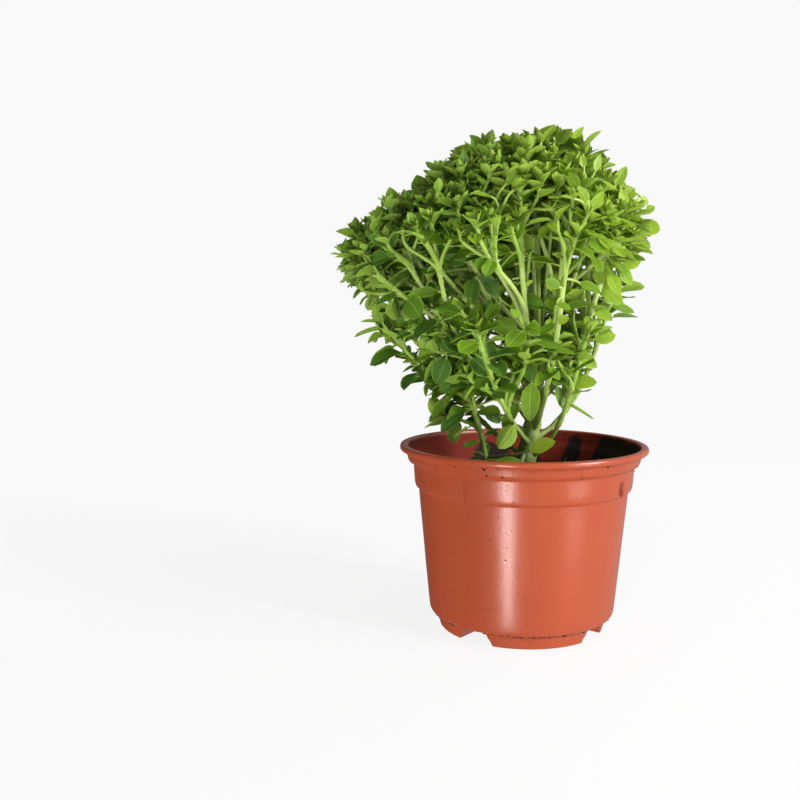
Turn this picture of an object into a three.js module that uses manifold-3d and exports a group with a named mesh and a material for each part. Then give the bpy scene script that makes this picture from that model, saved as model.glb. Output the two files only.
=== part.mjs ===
// A potted small-leaved basil: a moulded plastic nursery pot with four feet, potting soil,
// a trunk, a second thin stem and a crown of forked leafy stems whose tips close in rosettes.
// Millimetres, +Z up. The plant is laid out round the pot's axis, with the foot at z = 0, and
// the finished group is then moved so that the origin is the bottom centre of its box.
import * as THREE from 'three';
import { mergeVertices } from 'three/addons/utils/BufferGeometryUtils.js';
import Module from 'manifold-3d';

const wasm = await Module();
wasm.setup();

// ---------------------------------------------------------------- driving dimensions
const GAP = 0.3; // between pieces that touch
const DEGREE = Math.PI / 180;

const POT_SIDES = 32;
const WALL = 1.2;
const LIP_RADIUS = 65;
const POT_HEIGHT = 97;
const BAND_RADIUS = 61; // the second band under the lip
const COLLAR_RADIUS = 57.8;
const COLLAR_FOOT = 74.4; // height where the collar's shoulder starts
const WALL_TOP_RADIUS = 54.8;
const WALL_FOOT_RADIUS = 48.7;
const FOOT_RADIUS = 43.4;
const FOOT_HEIGHT = 7.6;
const FOOT_BEARING = 13.5; // degrees from the front (-Y) towards +X
const CHANNEL_HALF_WIDTH = 6; // roof of the channels between the feet
const CHANNEL_SPLAY = 4; // how much wider each side is at the ground
const DRAIN_HOLE = { distance: 32, radius: 4.5 }; // one in each arm of the channels

const SOIL_TOP = 71;
// The trunk's middle, towards +X and up, and its radius there.
const TRUNK = [[2.5, 48, 3.0], [3, 72, 3.7], [5, 96, 3.5], [6, 112, 3.2], [7.5, 140, 2.6], [8, 151, 2.1]];
const THIN_STEM_SPOT = [-16, -8]; // where the second stem leaves the soil

const CROWN_BASE = new THREE.Vector3(2, 0, 72);
const CROWN_LEAN = 8.6 * DEGREE; // towards -X
const CROWN_ANGLE = 31 * DEGREE; // from the crown's axis to its edge
const CROWN_REACH = 184; // base to the top leaves
const CROWN_TILT = 26; // how much higher its +X side stands, and lower its -X side
const EDGE_LOSS = 21; // how much less it reaches at the edge
const RIGHT_LOSS = 30; // more of that towards +X, and less towards -X
const TIP_LEAVES = 7; // how far the leaves stand past a stem's tip
const STEM_PAIRS = 8;
const FLANK_PAIRS = 3;
const DOME_TIPS = 37;
const GOLDEN_ANGLE = 137.508 * DEGREE;
const HIGHEST_FORK = 146; // where the first pair of leafy stems leaves the trunk
const FORK_STEP = 5.6; // and each next pair below it
const BLADE_THICKNESS = 0.75;
const ROOT_DEPTH = 0.35; // how far from a stem's middle a leaf starts

const PLASTIC = { color: 0xc2603f, roughness: 0.38, metalness: 0 };
const SOIL = { color: 0x1c1410, roughness: 1, metalness: 0 };
const BARK = { color: 0xa2b765, roughness: 0.6, metalness: 0 };
const LEAF = { color: 0x6f9a32, roughness: 0.55, metalness: 0 };

// ---------------------------------------------------------------- solids
function solid(geometry) {
  const bare = geometry.clone();
  bare.deleteAttribute('normal');
  bare.deleteAttribute('uv');
  const merged = mergeVertices(bare, 1e-4);
  return new wasm.Manifold(new wasm.Mesh({
    numProp: 3,
    vertProperties: new Float32Array(merged.attributes.position.array),
    triVerts: new Uint32Array(merged.index.array),
  }));
}

function meshOf(name, body, finish) {
  const { vertProperties, triVerts } = body.getMesh();
  const geometry = new THREE.BufferGeometry();
  geometry.setAttribute('position', new THREE.BufferAttribute(vertProperties, 3));
  geometry.setIndex(new THREE.BufferAttribute(triVerts, 1));
  geometry.computeVertexNormals();
  const mesh = new THREE.Mesh(geometry, new THREE.MeshStandardMaterial(finish));
  mesh.name = name;
  return mesh;
}

// A ring for each point of the profile [radius, height], from the axis round to the axis again.
function turned(profile) {
  const points = profile.map(([radius, height]) => new THREE.Vector2(radius, height));
  return solid(new THREE.LatheGeometry(points, POT_SIDES).rotateX(Math.PI / 2));
}

// The level direction across a stem, and the one square to both.
function crossAxes(along) {
  const level = new THREE.Vector3(along.y, -along.x, 0);
  if (level.length() < 0.02) level.set(0, 1, 0);
  level.normalize();
  return [level, along.clone().cross(level)];
}

// A tube of `sides` flat sides through the points, with a radius for each point. The middle of
// its first side is turned by `twist` from the level direction.
function tube(points, radii, sides, twist = 0) {
  const vertices = [];
  const faces = [];
  points.forEach((point, i) => {
    const before = points[Math.max(i - 1, 0)];
    const after = points[Math.min(i + 1, points.length - 1)];
    const along = after.clone().sub(before).normalize();
    const [across, third] = crossAxes(along);
    for (let k = 0; k < sides; k += 1) {
      const turn = twist + (2 * Math.PI * (k + 0.5)) / sides;
      vertices.push(point.clone()
        .addScaledVector(across, radii[i] * Math.cos(turn))
        .addScaledVector(third, radii[i] * Math.sin(turn)));
    }
  });
  for (let i = 0; i < points.length - 1; i += 1) {
    for (let k = 0; k < sides; k += 1) {
      const [a, b] = [i * sides + k, i * sides + (k + 1) % sides];
      faces.push(a, b, b + sides, a, b + sides, a + sides);
    }
  }
  const last = (points.length - 1) * sides;
  for (let k = 1; k < sides - 1; k += 1) {
    faces.push(0, k + 1, k, last, last + k, last + k + 1);
  }
  return fromFaces(vertices, faces);
}

function fromFaces(vertices, faces) {
  return new wasm.Manifold(new wasm.Mesh({
    numProp: 3,
    vertProperties: new Float32Array(vertices.flatMap((vertex) => vertex.toArray())),
    triVerts: new Uint32Array(faces),
  }));
}

// ---------------------------------------------------------------- pot and soil
// The profile moved sideways by `distance` to the left of its direction, mitred at each corner.
function inset(profile, distance) {
  const normal = ([r0, z0], [r1, z1]) => new THREE.Vector2(z0 - z1, r1 - r0).normalize();
  return profile.map(([radius, height], i) => {
    const before = normal(profile[Math.max(i - 1, 0)], profile[Math.max(i, 1)]);
    const next = Math.min(i + 1, profile.length - 1);
    const after = normal(profile[next - 1], profile[next]);
    const mitre = before.clone().add(after).divideScalar(1 + before.dot(after));
    return [Math.max(radius + mitre.x * distance, 0), height + mitre.y * distance];
  });
}

const wallProfile = [
  [0, 0], [FOOT_RADIUS - 0.7, 0], [FOOT_RADIUS, 0.7], [FOOT_RADIUS + 1.2, FOOT_HEIGHT],
  [WALL_FOOT_RADIUS - 1.6, FOOT_HEIGHT + 0.2], [WALL_FOOT_RADIUS - 0.2, FOOT_HEIGHT + 1.8],
  [51.2, 33.7], [WALL_TOP_RADIUS, COLLAR_FOOT - 3.9], [COLLAR_RADIUS - 0.9, COLLAR_FOOT],
  [COLLAR_RADIUS, 87.2],
];
const rimProfile = [
  [BAND_RADIUS - 0.9, 89], [BAND_RADIUS + 0.5, 93.4], [LIP_RADIUS - 1.7, 93.7],
  [LIP_RADIUS, 95.1], [LIP_RADIUS - 0.3, 96.4], [LIP_RADIUS - 1.7, POT_HEIGHT], [BAND_RADIUS, POT_HEIGHT],
];
const cavityProfile = inset(wallProfile, WALL);
const cavityMouth = [
  [BAND_RADIUS - 1.7, 90.6], [BAND_RADIUS, POT_HEIGHT], [BAND_RADIUS + 0.3, POT_HEIGHT + 2],
];

// The channels between the feet: a cross of bars with sloping sides, grown by `margin`.
function channels(margin) {
  const roof = CHANNEL_HALF_WIDTH + margin;
  const top = FOOT_HEIGHT - 0.2 + margin;
  const section = new THREE.Shape([
    new THREE.Vector2(-roof - CHANNEL_SPLAY * 1.5, -top / 2),
    new THREE.Vector2(roof + CHANNEL_SPLAY * 1.5, -top / 2),
    new THREE.Vector2(roof, top),
    new THREE.Vector2(-roof, top),
  ]);
  const reach = FOOT_RADIUS + 2;
  const bar = new THREE.ExtrudeGeometry(section, { depth: 2 * reach, bevelEnabled: false });
  bar.translate(0, 0, -reach).rotateX(Math.PI / 2);
  return [45, 135].map((turn) => solid(bar.clone().rotateZ((FOOT_BEARING + turn) * DEGREE)))
    .reduce((cross, arm) => cross.add(arm));
}

function makePot() {
  const outside = turned([...wallProfile, ...rimProfile, [0, POT_HEIGHT]]);
  const inside = turned([...cavityProfile, ...cavityMouth, [0, POT_HEIGHT + 2]]);
  let pot = outside.subtract(channels(0)).subtract(inside.subtract(channels(WALL)));
  for (let arm = 0; arm < 4; arm += 1) {
    const bearing = (FOOT_BEARING + 45 + 90 * arm) * DEGREE;
    const { distance, radius } = DRAIN_HOLE;
    const drill = new THREE.CylinderGeometry(radius, radius, 4 * WALL, 12).rotateX(Math.PI / 2);
    drill.translate(distance * Math.sin(bearing), -distance * Math.cos(bearing), FOOT_HEIGHT + WALL / 2);
    pot = pot.subtract(solid(drill));
  }
  return pot;
}

function makeSoil(holes) {
  const inner = WALL + GAP;
  const body = turned([
    [0, inner], [FOOT_RADIUS - inner, inner], [FOOT_RADIUS + 1 - inner, FOOT_HEIGHT + inner],
    [WALL_FOOT_RADIUS - 1 - inner, FOOT_HEIGHT + 1 + inner],
    [WALL_TOP_RADIUS - 0.1 - inner, SOIL_TOP - 1.2], [34, SOIL_TOP], [0, SOIL_TOP + 1],
  ]).subtract(channels(inner));
  return holes.reduce((rest, hole) => rest.subtract(hole), body);
}

// ---------------------------------------------------------------- stems
// Random draws by a repeatable rule, so that the same plant grows each time.
class Draw {
  constructor(seed) {
    this.state = 7919 * (seed + 11);
    for (let i = 0; i < 4; i += 1) this.next();
  }

  next() {
    this.state = (this.state * 16807) % 2147483647;
    return this.state / 2147483647;
  }

  around(amount) {
    return (2 * this.next() - 1) * amount;
  }
}

// A point of the crown: so far from its base, at this angle from its axis and this bearing.
function crownPoint(reach, angle, bearing) {
  const sideways = reach * Math.sin(angle) * Math.cos(bearing);
  const upwards = reach * Math.cos(angle);
  return new THREE.Vector3(
    sideways * Math.cos(CROWN_LEAN) - upwards * Math.sin(CROWN_LEAN),
    reach * Math.sin(angle) * Math.sin(bearing),
    sideways * Math.sin(CROWN_LEAN) + upwards * Math.cos(CROWN_LEAN),
  ).add(CROWN_BASE);
}

function crownReach(angle, bearing) {
  const share = angle / CROWN_ANGLE;
  const right = Math.cos(bearing);
  return CROWN_REACH + CROWN_TILT * share * right - (EDGE_LOSS + RIGHT_LOSS * right) * share ** 2;
}

function trunkPoint(height) {
  const above = TRUNK.findIndex(([, z]) => z >= height);
  const next = above < 0 ? TRUNK.length - 1 : Math.max(above, 1);
  const [x0, z0] = TRUNK[next - 1];
  const [x1, z1] = TRUNK[next];
  const share = (height - z0) / (z1 - z0);
  return new THREE.Vector3(x0 + (x1 - x0) * share, 0, height);
}

// The dome's stem tips, spaced evenly by the golden angle.
function domeTips() {
  return Array.from({ length: DOME_TIPS }, (_, i) => {
    const draw = new Draw(i);
    const angle = CROWN_ANGLE * Math.sqrt((i + 0.5) / DOME_TIPS) + draw.around(0.8 * DEGREE);
    const bearing = i * GOLDEN_ANGLE + draw.around(3 * DEGREE);
    const reach = crownReach(angle, bearing) - TIP_LEAVES + draw.around(4);
    return crownPoint(reach, angle, bearing);
  });
}

// A smooth route: it leaves `from` along `start` and comes to `to` along `end`.
function route(from, start, to, end) {
  const pull = 0.36 * from.distanceTo(to);
  return new THREE.CubicBezierCurve3(
    from,
    from.clone().addScaledVector(start, pull),
    to.clone().addScaledVector(end, -pull),
    to,
  );
}

function endDirection(tip, upright) {
  return tip.clone().sub(CROWN_BASE).normalize().add(new THREE.Vector3(0, 0, upright)).normalize();
}

// The stems that leave the trunk: where each one starts, and the middle of its share of the crown.
function leafyStemPlan() {
  const top = TRUNK[TRUNK.length - 1][1] + GAP;
  const plan = [{ height: top, centre: crownPoint(CROWN_REACH, 0, 0), spread: 0 }];
  for (let pair = 0; pair < STEM_PAIRS; pair += 1) {
    const angle = CROWN_ANGLE * Math.sqrt((pair + 0.9) / (STEM_PAIRS + 0.6));
    for (const side of [0, 1]) {
      const bearing = (pair * GOLDEN_ANGLE) / 2 + side * Math.PI;
      plan.push({
        height: HIGHEST_FORK - FORK_STEP * (pair + side * 0.45),
        centre: crownPoint(crownReach(angle, bearing), angle, bearing),
        spread: angle / CROWN_ANGLE,
      });
    }
  }
  return plan;
}

// A shoot of straight lengths along its curve, square as the plant's stems are. Its sides, and
// the leaves that stand on them, are turned by `twist`.
function shoot(curve, thick, thin, steps, twist) {
  return { thick, thin, twist, points: curve.getPoints(steps) };
}

function shootSolid({ points, thick, thin, twist }, margin = 0) {
  const last = points.length - 1;
  return tube(points, points.map((_, i) => thick + (thin - thick) * (i / last) + margin), 4, twist);
}

// The place and direction on a shoot at a distance back from its tip.
function belowTip({ points }, back) {
  let left = back;
  for (let i = points.length - 1; i > 0; i -= 1) {
    const length = points[i].distanceTo(points[i - 1]);
    if (left <= length || i === 1) {
      const axis = points[i].clone().sub(points[i - 1]).normalize();
      return { root: points[i].clone().addScaledVector(axis, -left), axis };
    }
    left -= length;
  }
  return null;
}

function nearest(place, candidates) {
  const distances = candidates.map((candidate) => candidate.distanceTo(place));
  return distances.indexOf(Math.min(...distances));
}

// All shoots of the leafy stems. Each stem's main shoot runs to the free tip nearest its centre.
// Every other tip belongs to the stem with the nearest centre, and its shoot forks off there.
function leafyStems() {
  const plan = leafyStemPlan();
  const free = domeTips();
  const owned = plan.map(({ centre }) => free.splice(nearest(centre, free), 1));
  for (const tip of free) {
    owned[nearest(tip, plan.map(({ centre }) => centre))].push(tip);
  }
  return plan.map(({ height, spread }, index) => {
    const [first, ...others] = owned[index];
    const from = trunkPoint(height);
    const away = first.clone().sub(from).setZ(0).normalize();
    const lean = (index === 0 ? 8 : 36 + 22 * spread) * DEGREE;
    const start = away.multiplyScalar(Math.sin(lean)).setZ(Math.cos(lean));
    const curve = route(from, start, first, endDirection(first, 0.6));
    const shoots = [shoot(curve, 1.6, 1.1, 6, 50 * index * DEGREE)];
    others.forEach((tip, i) => {
      const share = 0.4 + 0.1 * (i % 3);
      const origin = curve.getPoint(share);
      const outward = tip.clone().sub(origin).normalize().add(curve.getTangent(share)).normalize();
      const fork = route(origin, outward, tip, endDirection(tip, 0.6));
      shoots.push(shoot(fork, 1.2, 1, 3, (50 * index + 37 * (i + 1)) * DEGREE));
    });
    return shoots;
  });
}

// Shorter stems that clothe the crown's flank, in opposite pairs below the others.
function flankStems() {
  const stems = [];
  for (let pair = 0; pair < FLANK_PAIRS; pair += 1) {
    for (const side of [0, 1]) {
      const draw = new Draw(100 + 2 * pair + side);
      const bearing = ((STEM_PAIRS + pair) * GOLDEN_ANGLE) / 2 + side * Math.PI;
      const from = trunkPoint(HIGHEST_FORK - FORK_STEP * (STEM_PAIRS + pair + side * 0.45));
      const far = crownPoint(122 - 12 * pair + draw.around(5), 32 * DEGREE, bearing);
      const near = crownPoint(84 - 4 * pair + draw.around(4), 31 * DEGREE, bearing + 0.42);
      const away = far.clone().sub(from).setZ(0).normalize();
      const start = away.clone().multiplyScalar(Math.sin(62 * DEGREE)).setZ(Math.cos(62 * DEGREE));
      const curve = route(from, start, far, endDirection(far, 0.15));
      const origin = curve.getPoint(0.38);
      const outward = near.clone().sub(origin).normalize().add(curve.getTangent(0.38)).normalize();
      stems.push([
        shoot(curve, 1.4, 1, 5, bearing),
        shoot(route(origin, outward, near, endDirection(near, 0)), 1.1, 0.9, 3, 2 * bearing),
      ]);
    }
  }
  return stems;
}

function thinStem() {
  const [x, y] = THIN_STEM_SPOT;
  const up = new THREE.Vector3(-0.1, 0, 1).normalize();
  const from = new THREE.Vector3(x + 1, y, SOIL_TOP - 18);
  const tip = new THREE.Vector3(-34, -22, 134);
  const curve = route(from, up, tip, new THREE.Vector3(-0.5, -0.25, 0.8).normalize());
  const low = new THREE.Vector3(-42, -8, 113);
  const origin = curve.getPoint(0.62);
  const outward = new THREE.Vector3(-1, 0.5, 0.5).normalize();
  return [
    shoot(curve, 1.8, 1.1, 7, 0.4),
    shoot(route(origin, new THREE.Vector3(-0.6, 0.3, 0.7).normalize(), low, outward), 1.1, 0.9, 3, 1.1),
  ];
}

// ---------------------------------------------------------------- leaves
// A blade folded along its midrib, with its edges raised and its tip drooping, the same on both
// faces. A large one has two points on each edge, and a small one has one.
function blade(leaf, margin = 0) {
  const { root, along, face, length, width, droop } = leaf;
  const half = width / 2 + margin;
  const edge = leaf.small ? [[0.48, 1]] : [[0.26, 0.82], [0.6, 0.9]];
  const outline = [
    [0, 0], ...edge.map(([x, y]) => [x, -y]), [1, 0], ...edge.map(([x, y]) => [x, y]).reverse(),
  ];
  const across = face.clone().cross(along);
  const stretch = length + margin;
  const at = ([x, y], lift) => root.clone()
    .addScaledVector(along, x * stretch)
    .addScaledVector(across, y * half)
    .addScaledVector(face, lift + Math.abs(y) * half * 0.36 - droop * length * x * x);
  const count = outline.length;
  const vertices = [
    ...outline.map((point) => at(point, margin)),
    ...outline.map((point) => at(point, -BLADE_THICKNESS - margin)),
  ];
  const upper = leaf.small ? [[0, 1, 2], [0, 2, 3]] : [[0, 1, 3], [1, 2, 3], [0, 3, 5], [3, 4, 5]];
  const faces = upper.flatMap(([a, b, c]) => [a, b, c, a + count, c + count, b + count]);
  for (let i = 0; i < count; i += 1) {
    const next = (i + 1) % count;
    faces.push(i, i + count, next + count, i, next + count, next);
  }
  return fromFaces(vertices, faces);
}

// The leaves of a shoot's tip: opposite pairs, each turned a quarter from the last, that close
// towards the tip. `back` is how far below the tip a pair sits, `open` its angle from the stem.
const ROSETTE = [
  { back: 4, open: 80, length: 15.5, width: 8.6 },
  { back: 2.1, open: 58, length: 12.5, width: 7, small: true },
  { back: 0.6, open: 32, length: 9, width: 5, small: true },
];
const STEM_PAIR = { back: 17, open: 84, length: 17, width: 9 };

function leafPair(pair, stalk, quarter, draw) {
  const { root, axis } = belowTip(stalk, pair.back);
  return [quarter, quarter + 2].map((quarters) => {
    const size = 1 + draw.around(0.12);
    return {
      root,
      axis,
      small: pair.small,
      length: pair.length * size,
      width: pair.width * size,
      turn: stalk.twist + (90 * quarters + draw.around(8)) * DEGREE,
      open: (pair.open + draw.around(7)) * DEGREE,
      droop: pair.small ? 0 : 0.12 + draw.around(0.08),
    };
  });
}

// The leaf turned round its stem, lifted towards the stem's tip and made shorter.
function bent(leaf, { turn, lift, shrink }) {
  const [level, third] = crossAxes(leaf.axis);
  const bearing = leaf.turn + turn * DEGREE;
  const open = leaf.open - lift * DEGREE;
  const outward = level.multiplyScalar(Math.cos(bearing)).addScaledVector(third, Math.sin(bearing));
  return {
    ...leaf,
    root: leaf.root.clone().addScaledVector(outward, ROOT_DEPTH),
    along: leaf.axis.clone().multiplyScalar(Math.cos(open)).addScaledVector(outward, Math.sin(open)),
    face: leaf.axis.clone().multiplyScalar(Math.sin(open)).addScaledVector(outward, -Math.cos(open)),
    length: leaf.length * shrink,
    width: leaf.width * shrink,
  };
}

// Everything that already stands, so that each new blade can be bent clear of it.
const standing = [];

function stand(stem, shoot, body) {
  standing.push({ stem, shoot, body, box: body.boundingBox() });
}

function boxesMeet(a, b) {
  return [0, 1, 2].every((i) => a.min[i] < b.max[i] && b.min[i] < a.max[i]);
}

function isClear(body, stem, shoot, ownToo) {
  const box = body.boundingBox();
  return !standing.some((other) => {
    const own = other.stem === stem;
    if (own && (!ownToo || other.shoot === shoot)) return false;
    return boxesMeet(box, other.box) && body.intersect(other.body).volume() > 0;
  });
}

const BENDS = [1, 0.85, 0.7].flatMap((shrink) => [0, 15, 30, -12].flatMap((lift) => (
  [0, 13, -13, 26, -26].map((turn) => ({ turn, lift, shrink })))));

// The leaf's first bend that is clear of everything, or else clear of all other stems.
function growBlade(leaf, stem, shoot) {
  for (const ownToo of [true, false]) {
    const clear = BENDS.map((bend) => bent(leaf, bend))
      .find((tried) => isClear(blade(tried, GAP), stem, shoot, ownToo));
    if (clear) {
      const body = blade(clear);
      stand(stem, shoot, body);
      return [body];
    }
  }
  return [];
}

// ---------------------------------------------------------------- trunk with its low leaves
function trunkTube(margin) {
  const points = TRUNK.map(([x, z]) => new THREE.Vector3(x, 0, z));
  points[0].z -= margin;
  points[points.length - 1].z += margin;
  return tube(points, TRUNK.map(([, , radius]) => radius + margin), 8);
}

// Where each low leaf's stalk leaves the trunk, where its blade starts and where it ends.
const LOW_LEAVES = [
  { height: 122, root: [2, -6, 129], tip: [3, -10.5, 108], face: [0.1, -1, 0.1], width: 12 },
  { height: 85, root: [6, -5.5, 86], tip: [21, -9, 94], face: [-0.3, -0.6, 1], width: 11 },
  { height: 101, root: [-5, -5, 102], tip: [-16, -8, 90], face: [-0.4, -0.8, 0.5], width: 12 },
  { height: 112, root: [17, -3, 117], tip: [38, -5, 107], face: [0.3, 0, 1], width: 8 },
];

function lowLeaf({ height, root, tip, face, width }) {
  const start = new THREE.Vector3(...root);
  const along = new THREE.Vector3(...tip).sub(start);
  const length = along.length();
  along.normalize();
  const outward = new THREE.Vector3(...face);
  outward.addScaledVector(along, -outward.dot(along)).normalize();
  const stalk = tube([trunkPoint(height), start.clone().addScaledVector(along, 3)], [0.8, 0.7], 4);
  return stalk.add(blade({ root: start, along, face: outward, length, width, droop: 0.1 }));
}

function makeTrunk() {
  const body = LOW_LEAVES.map(lowLeaf).reduce((all, leaf) => all.add(leaf), trunkTube(0));
  stand('main_stem', 0, body);
  return body;
}

// ---------------------------------------------------------------- the whole plant
// Stems first, then the rosettes from their widest leaves inwards, and last the large leaves below.
function growStems() {
  const named = [
    ...leafyStems().map((shoots, i) => [`leafy_stem_${String(i + 1).padStart(2, '0')}`, shoots]),
    ...flankStems().map((shoots, i) => [`flank_stem_${i + 1}`, shoots]),
    ['thin_stem', thinStem()],
  ];
  const stems = named.map(([name, shoots]) => {
    const [main, ...forks] = shoots.map((one) => shootSolid(one));
    const bodies = [main.subtract(trunkTube(GAP)), ...forks];
    bodies.forEach((body, i) => stand(name, i, body));
    return { name, shoots, bodies };
  });
  ROSETTE.forEach((pair, level) => stems.forEach(({ name, shoots, bodies }, index) => {
    shoots.forEach((stalk, i) => {
      const draw = new Draw(1000 * (level + 1) + 10 * index + i);
      const leaves = leafPair(pair, stalk, level, draw);
      bodies.push(...leaves.flatMap((leaf) => growBlade(leaf, name, i)));
    });
  }));
  stems.forEach(({ name, shoots, bodies }, index) => {
    const leaves = leafPair(STEM_PAIR, shoots[0], 1, new Draw(5000 + index));
    bodies.push(...leaves.flatMap((leaf) => growBlade(leaf, name, 0)));
  });
  return stems;
}

const trunk = makeTrunk();
const stems = growStems();
const stemHoles = [trunkTube(GAP), shootSolid(thinStem()[0], 1.5 * GAP)];

const group = new THREE.Group();
group.add(meshOf('pot', makePot(), PLASTIC));
group.add(meshOf('soil', makeSoil(stemHoles), SOIL));
group.add(meshOf('main_stem', trunk, BARK));
for (const { name, bodies } of stems) {
  group.add(meshOf(name, bodies.reduce((all, body) => all.add(body)), LEAF));
}
const box = new THREE.Box3().setFromObject(group);
group.position.set(-(box.min.x + box.max.x) / 2, -(box.min.y + box.max.y) / 2, -box.min.z);
group.updateMatrixWorld(true);

export default group;
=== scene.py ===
import math

import bpy
import numpy as np
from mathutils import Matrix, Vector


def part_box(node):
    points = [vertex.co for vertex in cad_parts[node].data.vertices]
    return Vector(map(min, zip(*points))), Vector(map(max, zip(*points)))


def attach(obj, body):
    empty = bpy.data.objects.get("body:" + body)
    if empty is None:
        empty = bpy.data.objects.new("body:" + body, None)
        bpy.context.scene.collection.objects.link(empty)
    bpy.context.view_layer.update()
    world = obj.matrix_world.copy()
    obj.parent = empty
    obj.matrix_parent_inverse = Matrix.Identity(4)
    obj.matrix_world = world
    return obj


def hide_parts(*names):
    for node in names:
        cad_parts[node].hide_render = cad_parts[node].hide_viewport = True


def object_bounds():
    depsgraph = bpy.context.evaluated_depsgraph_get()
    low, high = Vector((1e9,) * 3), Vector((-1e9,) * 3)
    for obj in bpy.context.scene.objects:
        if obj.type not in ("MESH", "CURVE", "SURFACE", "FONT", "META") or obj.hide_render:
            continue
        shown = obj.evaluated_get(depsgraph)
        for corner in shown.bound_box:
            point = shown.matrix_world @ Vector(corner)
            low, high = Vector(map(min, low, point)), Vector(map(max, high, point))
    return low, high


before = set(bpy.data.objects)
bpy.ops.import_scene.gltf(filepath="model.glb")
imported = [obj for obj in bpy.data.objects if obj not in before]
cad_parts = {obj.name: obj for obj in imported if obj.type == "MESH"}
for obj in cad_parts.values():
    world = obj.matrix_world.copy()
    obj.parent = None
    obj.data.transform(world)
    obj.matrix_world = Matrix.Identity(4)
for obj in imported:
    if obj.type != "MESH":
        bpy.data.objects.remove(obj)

CAD_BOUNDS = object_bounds()
DEGREE = math.pi / 180
pot_low, pot_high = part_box("pot")
POT_AXIS = np.array([(pot_low.x + pot_high.x) / 2, (pot_low.y + pot_high.y) / 2, 0.0])
BOX_LOW, BOX_HIGH = ((np.array(corner) - POT_AXIS) * 1000 for corner in CAD_BOUNDS)


def metres(points):
    return np.asarray(points, float) * 0.001 + POT_AXIS


def unit(vectors):
    return vectors / np.linalg.norm(vectors, axis=-1, keepdims=True)


def smooth(values, start, end):
    """0 before start, 1 after end, and 3t^2 - 2t^3 between them."""
    share = np.clip((np.asarray(values, float) - start) / (end - start), 0, 1)
    return share * share * (3 - 2 * share)


def turns(count):
    """Even bearings round a turn."""
    return 2 * math.pi * np.arange(count) / count


def circle(count):
    """Points of a level circle of radius 1."""
    turn = turns(count)
    return np.stack([np.cos(turn), np.sin(turn), 0 * turn], -1)


def round_pot(radius, bearing, height):
    """Places at a distance from the pot's axis and a bearing from the front (-Y) towards +X."""
    x, y = radius * np.sin(bearing), -radius * np.cos(bearing)
    return np.stack([x, y, np.broadcast_to(height, x.shape)], -1)


def add_object(name, data):
    thing = bpy.data.objects.new(name, data)
    bpy.context.scene.collection.objects.link(thing)
    return thing


# ---------------------------------------------------------------- camera, light and floor
UP = np.array([0.0, 0, 1])
EYE = np.array([0, -506.25, 168.8])
EYE_PITCH = -5.551 * DEGREE
EYE_YAW = 7.364 * DEGREE
LENS, SENSOR = 43.06, 36
PICTURE = 800  # pixels along each side of the picture
POT_MIDDLE, CROWN_MIDDLE = (0, 0, 60), (0, 0, 150)
FLOOR_RADIUS = 1500


def add_camera():
    data = bpy.data.cameras.new("camera")
    data.lens, data.sensor_width = LENS, SENSOR
    data.clip_start, data.clip_end = 0.01, 20
    camera = add_object("camera", data)
    camera.location = metres(EYE)
    camera.rotation_euler = (math.pi / 2 + EYE_PITCH, 0, EYE_YAW)
    bpy.context.scene.camera = camera


def seen_at(across, down, y):
    """The place with this y that the camera sees at a position in the picture, in pixels from its
    top left corner, and how many millimetres a pixel is there."""
    right = np.array([math.cos(EYE_YAW), math.sin(EYE_YAW), 0])
    level = np.array([-math.sin(EYE_YAW), math.cos(EYE_YAW), 0])
    ahead = level * math.cos(EYE_PITCH) + UP * math.sin(EYE_PITCH)
    top = UP * math.cos(EYE_PITCH) - level * math.sin(EYE_PITCH)
    ray = (right * (across - PICTURE / 2) + top * (PICTURE / 2 - down)
           + ahead * PICTURE * LENS / SENSOR)
    scale = (y - EYE[1]) / ray[1]
    return EYE + ray * scale, scale


def add_panel(name, place, aim, width, height, power, matt=True, shine=True):
    """A rectangular lamp at `place`, facing `aim`, both in millimetres. `matt` and `shine` say
    which light it gives: the even light on surfaces, or its own reflection in them."""
    data = bpy.data.lights.new(name, "AREA")
    data.shape, data.size, data.size_y = "RECTANGLE", width * 0.001, height * 0.001
    data.energy = power
    lamp = add_object(name, data)
    lamp.visible_diffuse, lamp.visible_glossy = matt, shine
    place, aim = metres(place), metres(aim)
    back = unit(place - aim)
    lamp.location = place
    lamp.rotation_euler = (math.acos(back[2]), 0, math.atan2(back[1], back[0]) + math.pi / 2)


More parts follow.
